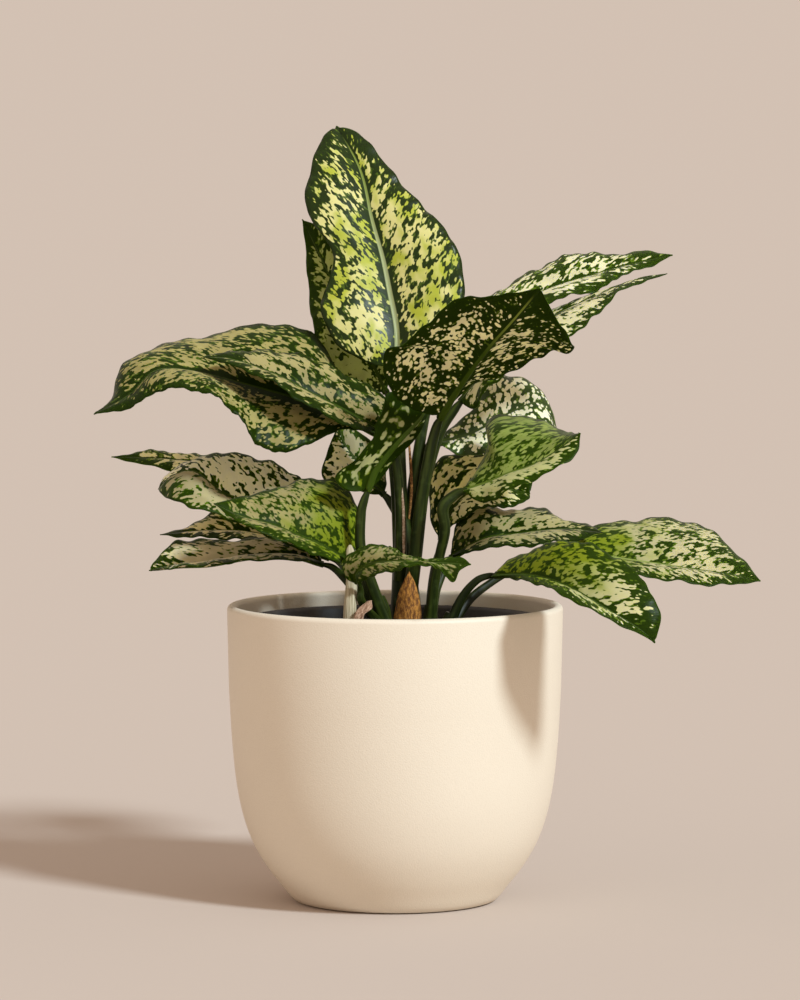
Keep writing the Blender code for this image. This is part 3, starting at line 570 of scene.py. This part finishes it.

# Leaf tissue: yellow-green where it is young, partly painted light for the glow through the thin blade,
# greens of two depths, and the midrib's own. Each leaf's looks give the pale tone that it has where it
# holds no green, and how deep its greens are. Leaf by leaf these are partly painted light and shade:
# leaves lying in shade get paler, brighter tones, and a few lit leaves get darker ones.
YOUNG_BACKLIT_PALE = (0.22, 0.27, 0.015)
YOUNG_BACKLIT_GREEN = (0.085, 0.135, 0.004)
YOUNG_BACKLIT_DARK = (0.022, 0.046, 0.002)
MID_GREEN = (0.056, 0.094, 0.006)
DARK_GREEN = (0.012, 0.026, 0.001)
RIB_PALE = (0.38, 0.42, 0.20)
RIB_GREEN = (0.050, 0.085, 0.008)

LOOKS = {
    "leaf_top": {"pale": (0.68, 0.64, 0.27), "fresh": (0.45, 0.48, 0.05), "cover": 0.03, "rib": RIB_PALE,
                 "rib_band": 3.6, "rib_width": 1.7, "rib_end": (0.22, 0.28, 0.05), "tip": 0.68, "slant": 0.9,
                 "greens": 1.15, "firm": 1.3, "gloss": 0.22},
    "leaf_back": {"pale": (0.50, 0.56, 0.19), "bare": 0.12, "slant": 0.5, "greens": 1.9, "soft": 1.5},
    # leaf_left and leaf_left_upper: pale tones darkened as painted shade.
    "leaf_left": {"pale": (0.38, 0.33, 0.12), "cover": -0.01, "rib_band": 3.8, "firm": 2.0, "greens": 1.1},
    "leaf_left_upper": {"pale": (0.38, 0.33, 0.14), "rib_band": 1.4},
    # leaf_front: pale tone raised as painted light on its shaded underside.
    "leaf_front": {"pale": (0.92, 0.87, 0.52), "cover": -0.045, "rib_band": 3.0, "margin": 14.0, "tip": 0.7,
                   "slant": 0.25, "dotty": 0.40, "rib_end": (0.20, 0.25, 0.04), "greens": 1.2},
    "leaf_upper_right": {"pale": (0.82, 0.79, 0.50), "cover": 0.03, "margin": 11.0, "tip": 0.72,
                         "coarse": 1.2, "greens": 2.0},
    "leaf_right_upper": {"pale": (0.76, 0.73, 0.44), "greens": 1.8, "coarse": 1.1},
    # leaf_right_back: pale tone and greens raised as painted light on a leaf lying in shade.
    "leaf_right_back": {"pale": (0.92, 0.89, 0.64), "cover": 0.02, "slant": 0.1, "coarse": 1.3, "dotty": 0.7,
                        "greens": 2.4, "gloss": 0.2},
    "leaf_right": {"pale": (0.28, 0.34, 0.08), "cover": -0.02, "rib": (0.14, 0.20, 0.03), "soft": 3.5,
                   "strip": (0.50, 0.50, 0.22), "strip_cover": 0.14, "greens": 1.9, "dotty": 0.36,
                   "rib_band": 1.0},
    "leaf_centre_back": {"pale": (0.86, 0.80, 0.42), "cover": 0.05, "slant": 0.3, "greens": 1.6},
    # leaf_right_low_back: pale tone darkened as painted shade.
    "leaf_right_low_back": {"pale": (0.44, 0.39, 0.18), "cover": 0.02, "rib_band": 2.4},
    "leaf_far_right": {"pale": (0.60, 0.55, 0.30), "cover": -0.01, "young_glow_reach": 0.6, "rib": (0.30, 0.36, 0.10),
                       "rib_band": 0.8, "greens": 1.7},
    "leaf_right_low": {"pale": (0.76, 0.71, 0.42), "young_glow_reach": 0.9, "margin": 12.0, "greens": 1.6},
    # leaf_left_back: pale tone and greens raised as painted light on a leaf lying in shade.
    "leaf_left_back": {"pale": (0.92, 0.87, 0.48), "cover": 0.03, "greens": 2.4},
    # leaf_left_middle: a dark pale on the left half and a bright one on the right, painted shade and light.
    "leaf_left_middle": {"pale": (0.48, 0.42, 0.22), "strip": (0.96, 0.90, 0.62), "cover": 0.07, "slant": 0.4,
                         "greens": 1.9},
    "leaf_left_front": {"pale": (0.36, 0.31, 0.13), "young_glow_reach": 0.6, "greens": 1.6, "soft": 4.0,
                        "coarse": 0.85},
    # leaf_left_low_back and leaf_left_low: pale tones raised as painted light on leaves lying in shade.
    "leaf_left_low_back": {"pale": (0.86, 0.78, 0.48), "cover": 0.05, "rib_band": 2.4, "greens": 1.5},
    "leaf_left_low": {"pale": (0.66, 0.59, 0.36), "cover": 0.05, "greens": 1.6, "soft": 2.0},
    "leaf_small": {"pale": (0.38, 0.36, 0.16), "greens": 2.0, "soft": 6.0},
    "leaf_centre": {"pale": (0.46, 0.48, 0.22), "cover": -0.02, "coarse": 1.5, "slant": 0.3, "young_glow_reach": 0.2,
                    "soft": 1.5, "greens": 1.2},
    # leaf_centre_left: a bright pale on the left half and a dark one on the right, painted light and shade.
    "leaf_centre_left": {"pale": (0.96, 0.89, 0.62), "strip": (0.42, 0.37, 0.20), "cover": 0.09,
                         "rib_band": 2.0, "slant": 0.4, "greens": 1.8},
}


def unit(vectors):
    """Vectors scaled to length 1."""
    return vectors / np.maximum(np.linalg.norm(vectors, axis=-1, keepdims=True), 1e-9)


def directions(points, along):
    """The curve's direction at distances along it."""
    ahead = smooth_curve(points, np.clip(along + 0.01, 0, 1))
    behind = smooth_curve(points, np.clip(along - 0.01, 0, 1))
    return unit(ahead - behind)


def square_to(vector, axis):
    """The part of a vector that stands square to an axis, at length 1."""
    return unit(vector - axis * (vector @ axis))


def blade_frame(outline, along):
    """The midrib's places, and at each the ways to both margins, the widths, upward and forward."""
    rib, left, right = outline["rib"], outline["left"], outline["right"]
    spine = smooth_curve(rib, along)
    to_left = smooth_curve([rib[0], *left, rib[-1]], along) - spine
    to_right = smooth_curve([rib[0], *right, rib[-1]], along) - spine
    forward = directions(rib, along)
    left_way, right_way = unit(to_left), unit(to_right)
    across = unit(right_way - left_way)
    for end, beside in ((0, 2), (1, 2), (-1, -3), (-2, -3)):
        across[end] = square_to(across[beside], forward[end])
        left_way[end], right_way[end] = -across[end], across[end]
    upward = unit(np.cross(across, forward))
    least = BASE_HALF_WIDTH * (1 - along) ** 6 + TIP_HALF_WIDTH
    left_width = np.maximum(np.linalg.norm(to_left, axis=1), least)
    right_width = np.maximum(np.linalg.norm(to_right, axis=1), least)
    return spine, left_way, right_way, left_width, right_width, upward, forward


def sheet_grid(name, columns, rows):
    """A flat grid to be shaped, with its points' order by row, and each row's and column's place."""
    bpy.ops.mesh.primitive_grid_add(x_subdivisions=columns, y_subdivisions=rows, size=1.0)
    sheet = bpy.context.object
    sheet.name = name
    flat = np.empty(len(sheet.data.vertices) * 3)
    sheet.data.vertices.foreach_get("co", flat)
    flat = flat.reshape(-1, 3)
    order = np.lexsort((flat[:, 0], flat[:, 1].round(6)))
    sideways = np.unique(flat[:, 0].round(6)) * 2
    lengthwise = np.unique(flat[:, 1].round(6)) + 0.5
    return sheet, order, sideways, lengthwise


def set_places(sheet, order, grid):
    """Move the grid's points to a shape given in millimetres."""
    places = np.empty((len(order), 3))
    places[order] = grid.reshape(-1, 3) * MM
    sheet.data.vertices.foreach_set("co", places.ravel())


def write_map(sheet, order, name, first, second):
    """A UV map that holds two values of each point."""
    values = np.empty((len(order), 2))
    values[order] = np.stack([first.ravel(), second.ravel()], 1)
    corners = np.empty(len(sheet.data.loops), int)
    sheet.data.loops.foreach_get("vertex_index", corners)
    layer = sheet.data.uv_layers.new(name=name)
    layer.uv.foreach_set("vector", values[corners].astype(np.float32).ravel())


def blade(name, outline, seed, columns, rows, ripple):
    """A closed leaf blade with two finishes: the first for its upper face, the second for the underside."""
    sheet, order, sideways, lengthwise = sheet_grid(name, columns, rows)
    off = np.abs(sideways) * (0.55 + 0.45 * np.abs(sideways))
    along = lengthwise ** ROW_SPREAD
    spine, left_way, right_way, left_width, right_width, upward, forward = blade_frame(outline, along)
    length = np.concatenate([[0], np.cumsum(np.linalg.norm(np.diff(spine, axis=0), axis=1))])
    grid = np.zeros((len(along), len(sideways), 3))
    across_mm = np.zeros(grid.shape[:2])
    inward_mm = np.zeros(grid.shape[:2])
    chance = np.random.default_rng(seed)
    phases = chance.random(6) * math.tau
    lengths = 14 + 16 * chance.random(6)
    calm = np.sin(math.pi * np.clip(along, 0, 1)) ** 0.6
    for column, share in enumerate(off):
        left_half = sideways[column] < 0
        way, width = (left_way, left_width) if left_half else (right_way, right_width)
        pick = 0 if left_half else 3
        lobes = LOBE * np.sin(math.tau * length / (0.8 * lengths[pick + 2]) + phases[pick + 2])
        width = width + lobes * calm * min(1.0, ripple)
        distance = width * share
        vein = (length - VEIN_SLANT * distance) / VEIN_SPACING
        rise = BLADE_BULGE * width * math.sin(math.pi * share)
        rise += QUILTING * np.sin(math.tau * vein) * math.sin(math.pi * share) * calm
        wave = np.sin(math.tau * length / lengths[pick] + phases[pick])
        wave += 0.6 * np.sin(math.tau * length / (0.45 * lengths[pick + 1]) + phases[pick + 1])
        rise += ripple * wave * share ** 3 * calm
        rise -= MIDRIB_GROOVE * np.exp(-(distance / 1.1) ** 2) * (1 - along)
        grid[:, column] = spine + way * distance[:, None] + upward * rise[:, None]
        across_mm[:, column] = distance * (-1 if left_half else 1)
        inward_mm[:, column] = np.minimum(width * (1 - share), 0.6 * (length[-1] - length))
    set_places(sheet, order, grid)
    write_map(sheet, order, "Spread", across_mm * MM, np.repeat(length[:, None], len(off), 1) * MM)
    write_map(sheet, order, "Edge", inward_mm * MM, np.repeat(along[:, None], len(off), 1))
    most = BLADE_THICKNESS + MIDRIB_THICKNESS
    fade = (1 - along[:, None]) ** 0.8
    thick = EDGE_THICKNESS + (BLADE_THICKNESS - EDGE_THICKNESS) * np.clip(inward_mm / 3.0, 0, 1)
    thick += MIDRIB_THICKNESS * fade * np.exp(-(across_mm / (MIDRIB_HALF_WIDTH * (0.4 + 0.6 * fade))) ** 2)
    group = sheet.vertex_groups.new(name="thickness")
    for place, point in enumerate(order):
        group.add([int(point)], float(thick.ravel()[place] / most), "REPLACE")
    body = sheet.modifiers.new("body", "SOLIDIFY")
    body.thickness = most * MM
    body.offset = -1.0
    body.vertex_group = group.name
    body.material_offset = 1
    body.material_offset_rim = 0
    sheet.data.materials.append(None)
    sheet.data.materials.append(None)
    bpy.ops.object.modifier_apply(modifier=body.name)
    bpy.ops.object.shade_smooth()
    return sheet


def leaf_tissue(name, seed, under, pale, cover=0.0, rib=RIB_GREEN, rib_band=2.0, rib_width=1.0,
                margin=8.5, tip=0.82, young_glow_reach=0.0, coarse=1.0, slant=0.65, greens=1.0, firm=1.0, dotty=0.26,
                soft=1.0, gloss=0.05, bare=0.0, fresh=None, strip=None, strip_cover=0.0,
                rib_end=(0.07, 0.11, 0.02)):
    """A blade's finish. Blotches run along the slanted side veins, and the margin and midrib stay green.

    cover adds pale area, bare adds it at the base and strip_cover on the right half, whose pale tone is
    strip; on some leaves strip and pale differ as painted light and painted shade, one half lit and the
    other shaded. spring is how far up the blade is young, and its yellow-green is partly painted light,
    the glow of light through the blade. soft widens the edges of the blotches.
    """
    paint = Paint(name, Specular_IOR_Level=0.5 * gloss if under else gloss, Subsurface_Weight=0.7,
                  Subsurface_Scale=1.4 * MM, Subsurface_Radius=(1.0, 1.0, 0.4))
    across, along = paint.map_pair("Spread")
    inward, share = paint.map_pair("Edge")
    off_rib = across.math("ABSOLUTE")
    side = across.math("SIGN")
    vein = along - off_rib * slant

    def spot(width, length, shift):
        """A place in a pattern of that grain size. Each leaf, half and layer reads another stretch of it."""
        return paint.place(vein / (width * MM), off_rib / (length * MM), side * 5.0 + (seed * 3.7 + shift))

    def speckle(width, length, shift, detail=2.0):
        """Soft random values about 0."""
        return paint.grain(spot(width, length, shift), detail=detail) - 0.5

    margin_shade = 1 - paint.rise(inward + 0.008 * speckle(6, 5, 2.1), 0.0005, margin * MM)
    rim_shade = 1 - paint.rise(inward, 0.0006, 0.0018)
    rib_shade = 1 - paint.rise(off_rib / (1.15 - share), rib_band * 0.6 * MM, rib_band * 2.4 * MM)
    tip_shade = paint.rise(share, tip - 0.12, tip + 0.14)
    blotch = speckle(BLOTCH_SIZE[0] * coarse, BLOTCH_SIZE[1] * coarse, 1.3, detail=1.2)
    cloud = speckle(CLOUD_SIZE[0] * coarse, CLOUD_SIZE[1] * coarse, 0.0, detail=1.0)
    dots = 0.5 - paint.cells(spot(DOT_SIZE * coarse, DOT_SIZE * coarse, 4.4))
    field = 0.85 * blotch + 0.60 * cloud + dots * (dotty + 0.16 * margin_shade) + (COVER_LEVEL + cover)
    field = field - 0.17 * margin_shade - firm * (0.25 * rim_shade + 0.16 * rib_shade) - 0.12 * tip_shade
    field = field + bare * (1 - paint.rise(share, 0.05, 0.5)) + strip_cover * (0.5 + 0.5 * side)
    edge = soft * (0.024 if under else 0.017)
    pale_share = paint.rise(field, 0.5 - edge, 0.5 + edge)
    middle_share = paint.rise(field + 0.45 * speckle(4, 5, 6.3), 0.43, 0.47)
    tint = paint.grain(paint.place(along / 0.016, across / 0.012, seed * 1.9))
    pale_tone = paint.mix(paint.rise(tint, 0.40, 0.62), pale, fresh or tuple(0.82 * c for c in pale))
    dark_tone = tuple(greens * c for c in DARK_GREEN)
    middle_tone = tuple(greens * c for c in MID_GREEN)
    # The young base's yellow-green is partly painted light: the glow of light shining through the thin blade.
    if young_glow_reach:
        young = 1 - paint.rise(share + 0.7 * (tint - 0.5), young_glow_reach * 0.45, young_glow_reach)
        pale_tone = paint.mix(young, pale_tone, YOUNG_BACKLIT_PALE)
        middle_tone = paint.mix(young, middle_tone, YOUNG_BACKLIT_GREEN)
        dark_tone = paint.mix(young, dark_tone, YOUNG_BACKLIT_DARK)
    # Where strip and pale differ much, the two halves carry painted light and painted shade.
    if strip:
        pale_tone = paint.mix(0.5 + 0.5 * side, pale_tone, strip)
    green = paint.mix(middle_share, dark_tone, middle_tone)
    tissue = paint.mix(pale_share, green, pale_tone)
    line = 1 - paint.rise(off_rib / (1.2 - share), 0.7 * rib_width * MM, 1.2 * rib_width * MM)
    line = line * (1 - paint.rise(share, 0.86, 0.97))
    tissue = paint.mix(line, tissue, paint.mix(paint.rise(share, 0.45, 0.8), rib, rib_end))
    paint.colour(tissue)
    paint.rough((0.45 if under else 0.34) + 0.10 * pale_share + 0.14 * (tint - 0.5))
    lines = (vein * (math.tau / (VEINLET_SPACING * MM))).math("SINE")
    paint.relief(0.10 * lines + speckle(0.9, 2.4, 8.0), TISSUE_RELIEF * MM)
    return paint.material


for seed, (node, outline) in enumerate(LEAVES.items(), start=3):
    leaf = blade(node.replace("leaf", "blade"), outline, seed, BLADE_COLUMNS, BLADE_ROWS, RIPPLE)
    leaf.data.materials[0] = leaf_tissue(node + "_upper", seed, False, **LOOKS[node])
    leaf.data.materials[1] = leaf_tissue(node + "_under", seed, True, **LOOKS[node])
    keep(leaf, "root", node)


# The shoots. Each cane is rooted in the soil, and the petioles grow from it as one body: round, fleshy
# stalks, dark green with fine pale mottles, that thin out towards the leaf and run into its midrib.
ROOTED_DEPTH = 26.0
FOOT_ABOVE_SOIL = 4.0
PETIOLE_NECK = 5.0
PETIOLE_SEAT = 2.5
PETIOLE_TAPER = 0.72
SEAT_ROWS = 13
STALK_SIDES = 18
CANE_RINGS = 30
PETIOLE_RINGS = 40
CHANNEL_DEPTH = 0.16
CHANNEL_SPREAD = 0.55
FIBRE_RELIEF = 0.12
PETIOLE_TONES = ((0.011, 0.021, 0.002), (0.046, 0.068, 0.008), (0.09, 0.13, 0.03))
# The far right shoot stands in shade, and SHADE darkens its skin as painted shade.
SHADY_SHOOT = "shoot_far_right"
SHADE = 0.45
SHOOTS = {
    "shoot_main": {
        "root": (6, 0, 9.0),
        "cane": [(6, 0, 170, 8.4), (5, 1, 190, 6.5), (4, 2, 216, 4.5)],
        "leaf_top": [(4, 2, 193, 4.0), (3, 3, 238, 3.6), (2, 5, 272, 3.2)],
        "leaf_back": [(3, 5, 193, 4.0), (1, 9, 238, 3.2), (-2, 12, 266, 2.8)],
        "leaf_left": [(3, 0, 187, 4.0), (1, -3, 227, 3.2), (-1, -3, 249, 2.9)],
        "leaf_left_upper": [(3, -3, 182, 4.0), (3, -10, 222, 3.0), (0, -13, 253, 2.6)],
        "leaf_front": [(7, -5, 165, 4.5), (11, -12, 194, 4.0), (15, -18, 228, 3.6), (20, -24, 257, 3.2)],
        "leaf_upper_right": [(6, 5, 193, 4.0), (11, 10, 238, 3.4), (19, 15, 283, 2.8)],
        "leaf_right_upper": [(8, 2, 187, 4.0), (16, 4, 232, 3.2), (25, 4, 264, 3.0)],
        "leaf_right_back": [(7, 8, 192, 4.0), (13, 11, 226, 3.2)],
        "leaf_centre_left": [(4, 2, 193, 4.0), (3, 4, 214, 3.0)],
    },
    "shoot_left": {
        "root": (-8, -20, 6.5),
        "cane": [(-8, -20, 166, 5.5), (-10, -20, 174, 4.0)],
        "leaf_centre": [(-6, -22, 161, 4.0), (-12, -25, 178, 3.4), (-19, -28, 201, 3.0),
                        (-19, -30, 221, 2.8)],
        "leaf_left_front": [(-10, -20, 166, 3.6), (-16, -21, 181, 3.0)],
        "leaf_left_middle": [(-10, -19, 164, 3.4), (-20, -12, 177, 2.6), (-28, -6, 191, 2.3)],
        "leaf_left_low": [(-10, -20, 162, 3.4), (-21, -14, 175, 2.6), (-29, -10, 184, 2.3)],
        "leaf_left_low_back": [(-8, -14, 160, 3.4), (-16, 0, 171, 2.6), (-26, 14, 183, 2.2)],
        "leaf_left_back": [(-7, -12, 161, 3.4), (-16, 4, 176, 2.6), (-27, 20, 197, 2.2),
                           (-34, 30, 215, 2.1)],
        "leaf_small": [(-10, -24, 160, 3.2), (-15, -34, 167, 2.6), (-19, -45, 175, 2.2)],
    },
    "shoot_right": {
        "root": (20, -14, 4.4),
        "cane": [(20, -14, 161, 4.2), (20, -14, 169, 3.4)],
        "leaf_right": [(20, -15, 161, 3.4), (22, -18, 180, 2.8), (25, -22, 197, 2.8), (28, -27, 212, 3.0),
                       (27, -30, 225, 3.4)],
        "leaf_centre_back": [(20, -12, 161, 3.2), (21, 0, 178, 2.6), (23, 10, 190, 2.3)],
        "leaf_right_low_back": [(20, -13, 159, 3.2), (23, -8, 176, 2.6), (27, -3, 187, 2.4)],
    },
    "shoot_far_right": {
        "root": (30, -26, 4.6),
        "cane": [(30, -26, 160, 4.2), (32, -26, 165, 3.6)],
        "leaf_right_low": [(31, -27, 160, 3.2), (38, -28, 175, 2.4), (46, -29, 184, 2.1)],
        "leaf_far_right": [(32, -24, 159, 3.2), (42, -16, 172, 2.5), (53, -7, 180, 2.2), (66, 4, 187, 2.1)],
    },
}


def stalk(name, route, radii, rings):
    """A closed round stalk with a shallow channel on its upper side, along the smooth route."""
    sheet, order, sideways, lengthwise = sheet_grid(name, STALK_SIDES, rings)
    centres = smooth_curve(route, lengthwise)
    radius = np.interp(lengthwise, knots_of(route), radii)
    forward = directions(route, lengthwise)
    side = unit(np.cross(forward, (0.0, 1.0, 0.0)))
    other = np.cross(forward, side)
    angles = sideways * math.pi
    channel = 1 - CHANNEL_DEPTH * np.exp(-((angles - 0.5 * math.pi) / CHANNEL_SPREAD) ** 2)
    outward = side[:, None] * np.cos(angles)[None, :, None] + other[:, None] * np.sin(angles)[None, :, None]
    grid = centres[:, None] + (radius[:, None] * channel[None])[:, :, None] * outward
    set_places(sheet, order, grid)
    length = np.concatenate([[0], np.cumsum(np.linalg.norm(np.diff(centres, axis=0), axis=1))])
    write_map(sheet, order, "Run", np.repeat(angles[None], len(length), 0),
              np.repeat(length[:, None], len(angles), 1) * MM)
    bpy.ops.object.mode_set(mode="EDIT")
    bpy.ops.mesh.select_all(action="SELECT")
    bpy.ops.mesh.remove_doubles(threshold=1e-6)
    bpy.ops.mesh.fill_holes(sides=0)
    bpy.ops.mesh.normals_make_consistent(inside=False)
    bpy.ops.object.mode_set(mode="OBJECT")
    bpy.ops.object.shade_smooth_by_angle(angle=SHARP_ANGLE)
    return sheet


def petiole_end(outline):
    """The last two places of a petiole: a neck, and its end inside the midrib's underside."""
    start = directions(outline["rib"], np.zeros(1))[0]
    upward = blade_frame(outline, np.linspace(0, 1, SEAT_ROWS) ** ROW_SPREAD)[5][0]
    seat = np.array(outline["rib"][0]) - 0.5 * (BLADE_THICKNESS + MIDRIB_THICKNESS) * upward
    return [tuple(seat - PETIOLE_NECK * start), tuple(seat + PETIOLE_SEAT * start)]


def join(pieces, name):
    """Join pieces into the first one."""
    bpy.ops.object.select_all(action="DESELECT")
    for piece in pieces:
        piece.select_set(True)
    bpy.context.view_layer.objects.active = pieces[0]
    bpy.ops.object.join()
    pieces[0].name = name
    return pieces[0]


def petiole_skin(name, depth):
    """Canes' and petioles' skin: fibres along the stalk, pale mottles. Depth darkens it, as painted shade."""
    skin = Paint(name, Specular_IOR_Level=0.22)
    run_angle, run_along = skin.map_pair("Run")
    fibre = skin.grain(skin.place(run_angle * 1.2, run_along / 0.03, 0.0))
    mottle = skin.grain(skin.own_place(), scale=220.0)
    dark, light, pale = (tuple(depth * c for c in tone) for tone in PETIOLE_TONES)
    green = skin.mix(skin.rise(fibre, 0.35, 0.72), dark, light)
    skin.colour(skin.mix(0.22 * skin.rise(mottle, 0.52, 0.70), green, pale))
    skin.rough(0.34 + 0.16 * mottle)
    skin.relief(fibre, FIBRE_RELIEF * MM)
    return skin.material


for node, shoot in SHOOTS.items():
    x, y, radius = shoot["root"]
    foot = [(x, y, SOIL_TOP - ROOTED_DEPTH, radius), (x, y, SOIL_TOP + FOOT_ABOVE_SOIL, radius)]
    whole = foot + shoot["cane"]
    stalks = [stalk(node, [entry[:3] for entry in whole], [entry[3] for entry in whole], CANE_RINGS)]
    for leaf, stretch in shoot.items():
        if leaf not in LEAVES:
            continue
        end_radius = stretch[-1][3] * PETIOLE_TAPER
        route = [entry[:3] for entry in stretch] + petiole_end(LEAVES[leaf])
        radii = [entry[3] for entry in stretch] + [end_radius * 1.15, end_radius * 0.6]
        stalks.append(stalk(f"{node}_{leaf}", route, radii, PETIOLE_RINGS))
    cane = join(stalks, node.replace("shoot", "cane"))
    cane.data.materials.append(petiole_skin(node + "_skin", SHADE if node == SHADY_SHOOT else 1.0))
    keep(cane, "root", node)


# The dead pieces at the soil: a pale dry stalk, the brown papery sheath at the foot of the middle cane,
# and a small pinkish leaf end. They have dried hard and stand where they grew.
DRY_BLADES = {
    "dry_sheath": {
        "rib": [(7, -22, 152.4), (8, -21, 170), (8, -19, 188)],
        "left": [(-1, -16, 154), (1, -17, 172), (5, -18, 183)],
        "right": [(14, -17, 154), (14, -18, 172), (11, -18, 182)],
    },
    "dry_scrap": {
        "rib": [(-20, -54, 151.9), (-20, -55, 164), (-13, -54, 175)],
        "left": [(-23, -54, 159), (-22, -53, 168), (-16, -51, 174)],
        "right": [(-17, -55, 160), (-17, -56, 167), (-13, -56, 171)],
    },
}
STRAW_ROUTE = [(-25, -46, 126), (-25, -46, 156), (-25, -45, 169), (-24, -39, 188), (-25, -34, 201),
               (-25, -33, 204)]
STRAW_RADII = [4.2, 4.2, 3.6, 3.1, 2.4, 0.8]
STRAW_RINGS = 60
STRAW_TONES = ((0.36, 0.30, 0.17), (0.66, 0.58, 0.40))
HUSK_COLUMNS = 20
HUSK_ROWS = 40
HUSK_RIPPLE = 0.4
DRY_TONES = {"dry_sheath": ((0.15, 0.050, 0.006), (0.60, 0.26, 0.04), "brown_sheath"),
             "dry_scrap": ((0.36, 0.20, 0.12), (0.80, 0.55, 0.38), "pink_straw")}

straw = stalk("straw", STRAW_ROUTE, STRAW_RADII, STRAW_RINGS)
straw_paint = Paint("pale_straw", roughness=0.75)
run_angle, run_along = straw_paint.map_pair("Run")
thread = straw_paint.grain(straw_paint.place(run_angle * 4.0, run_along / 0.015, 0.0), detail=4.0)
straw_paint.colour(straw_paint.mix(straw_paint.rise(thread, 0.3, 0.7), *STRAW_TONES))
straw_paint.relief(thread, 0.5 * MM)
straw.data.materials.append(straw_paint.material)
keep(straw, "root", "dry_stalk")

for seed, (node, outline) in enumerate(DRY_BLADES.items(), start=40):
    scrap = blade(node.replace("dry", "husk"), outline, seed, HUSK_COLUMNS, HUSK_ROWS, HUSK_RIPPLE)
    dark, light, slot = DRY_TONES[node]
    husk = Paint(slot + "_husk", roughness=0.8)
    across, along = husk.map_pair("Spread")
    strand = husk.grain(husk.place(across / 0.0016, along / 0.0036, 0.0), detail=4.0, roughness=0.7)
    husk.colour(husk.mix(husk.rise(strand, 0.40, 0.64), dark, light))
    husk.relief(strand, 0.6 * MM)
    scrap.data.materials[0] = husk.material
    scrap.data.materials[1] = husk.material
    keep(scrap, "root", node)


# The dry margins of the petiole sheaths: where a sheath has opened, its edge has dried to a thin papery
# strand, which still clings to the petiole in front of it.
MARGINS = {
    "margin_pale": [(5.0, -8.4, 191), (4.9, -10.6, 207), (4.7, -12.6, 222), (3.6, -13.4, 238)],
    "margin_brown": [(7.6, 1.0, 214), (9.2, 0.6, 232), (8.6, 1.4, 250), (7.2, 2.6, 266)],
}
MARGIN_RADII = [0.5, 0.9, 0.8, 0.4]
MARGIN_RINGS = 30
MARGIN_TONES = {"margin_pale": ((0.40, 0.26, 0.16), (0.72, 0.56, 0.40), "pink_straw"),
                "margin_brown": ((0.16, 0.06, 0.01), (0.52, 0.25, 0.06), "brown_sheath")}
for name, route in MARGINS.items():
    strand = stalk(name, route, MARGIN_RADII, MARGIN_RINGS)
    dark, light, slot = MARGIN_TONES[name]
    edge_paint = Paint(name + "_husk", roughness=0.8)
    fleck = edge_paint.grain(edge_paint.own_place(), scale=700.0, detail=3.0)
    edge_paint.colour(edge_paint.mix(edge_paint.rise(fleck, 0.4, 0.65), dark, light))
    edge_paint.relief(fleck, 0.3 * MM)
    strand.data.materials.append(edge_paint.material)
    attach(strand, "root")
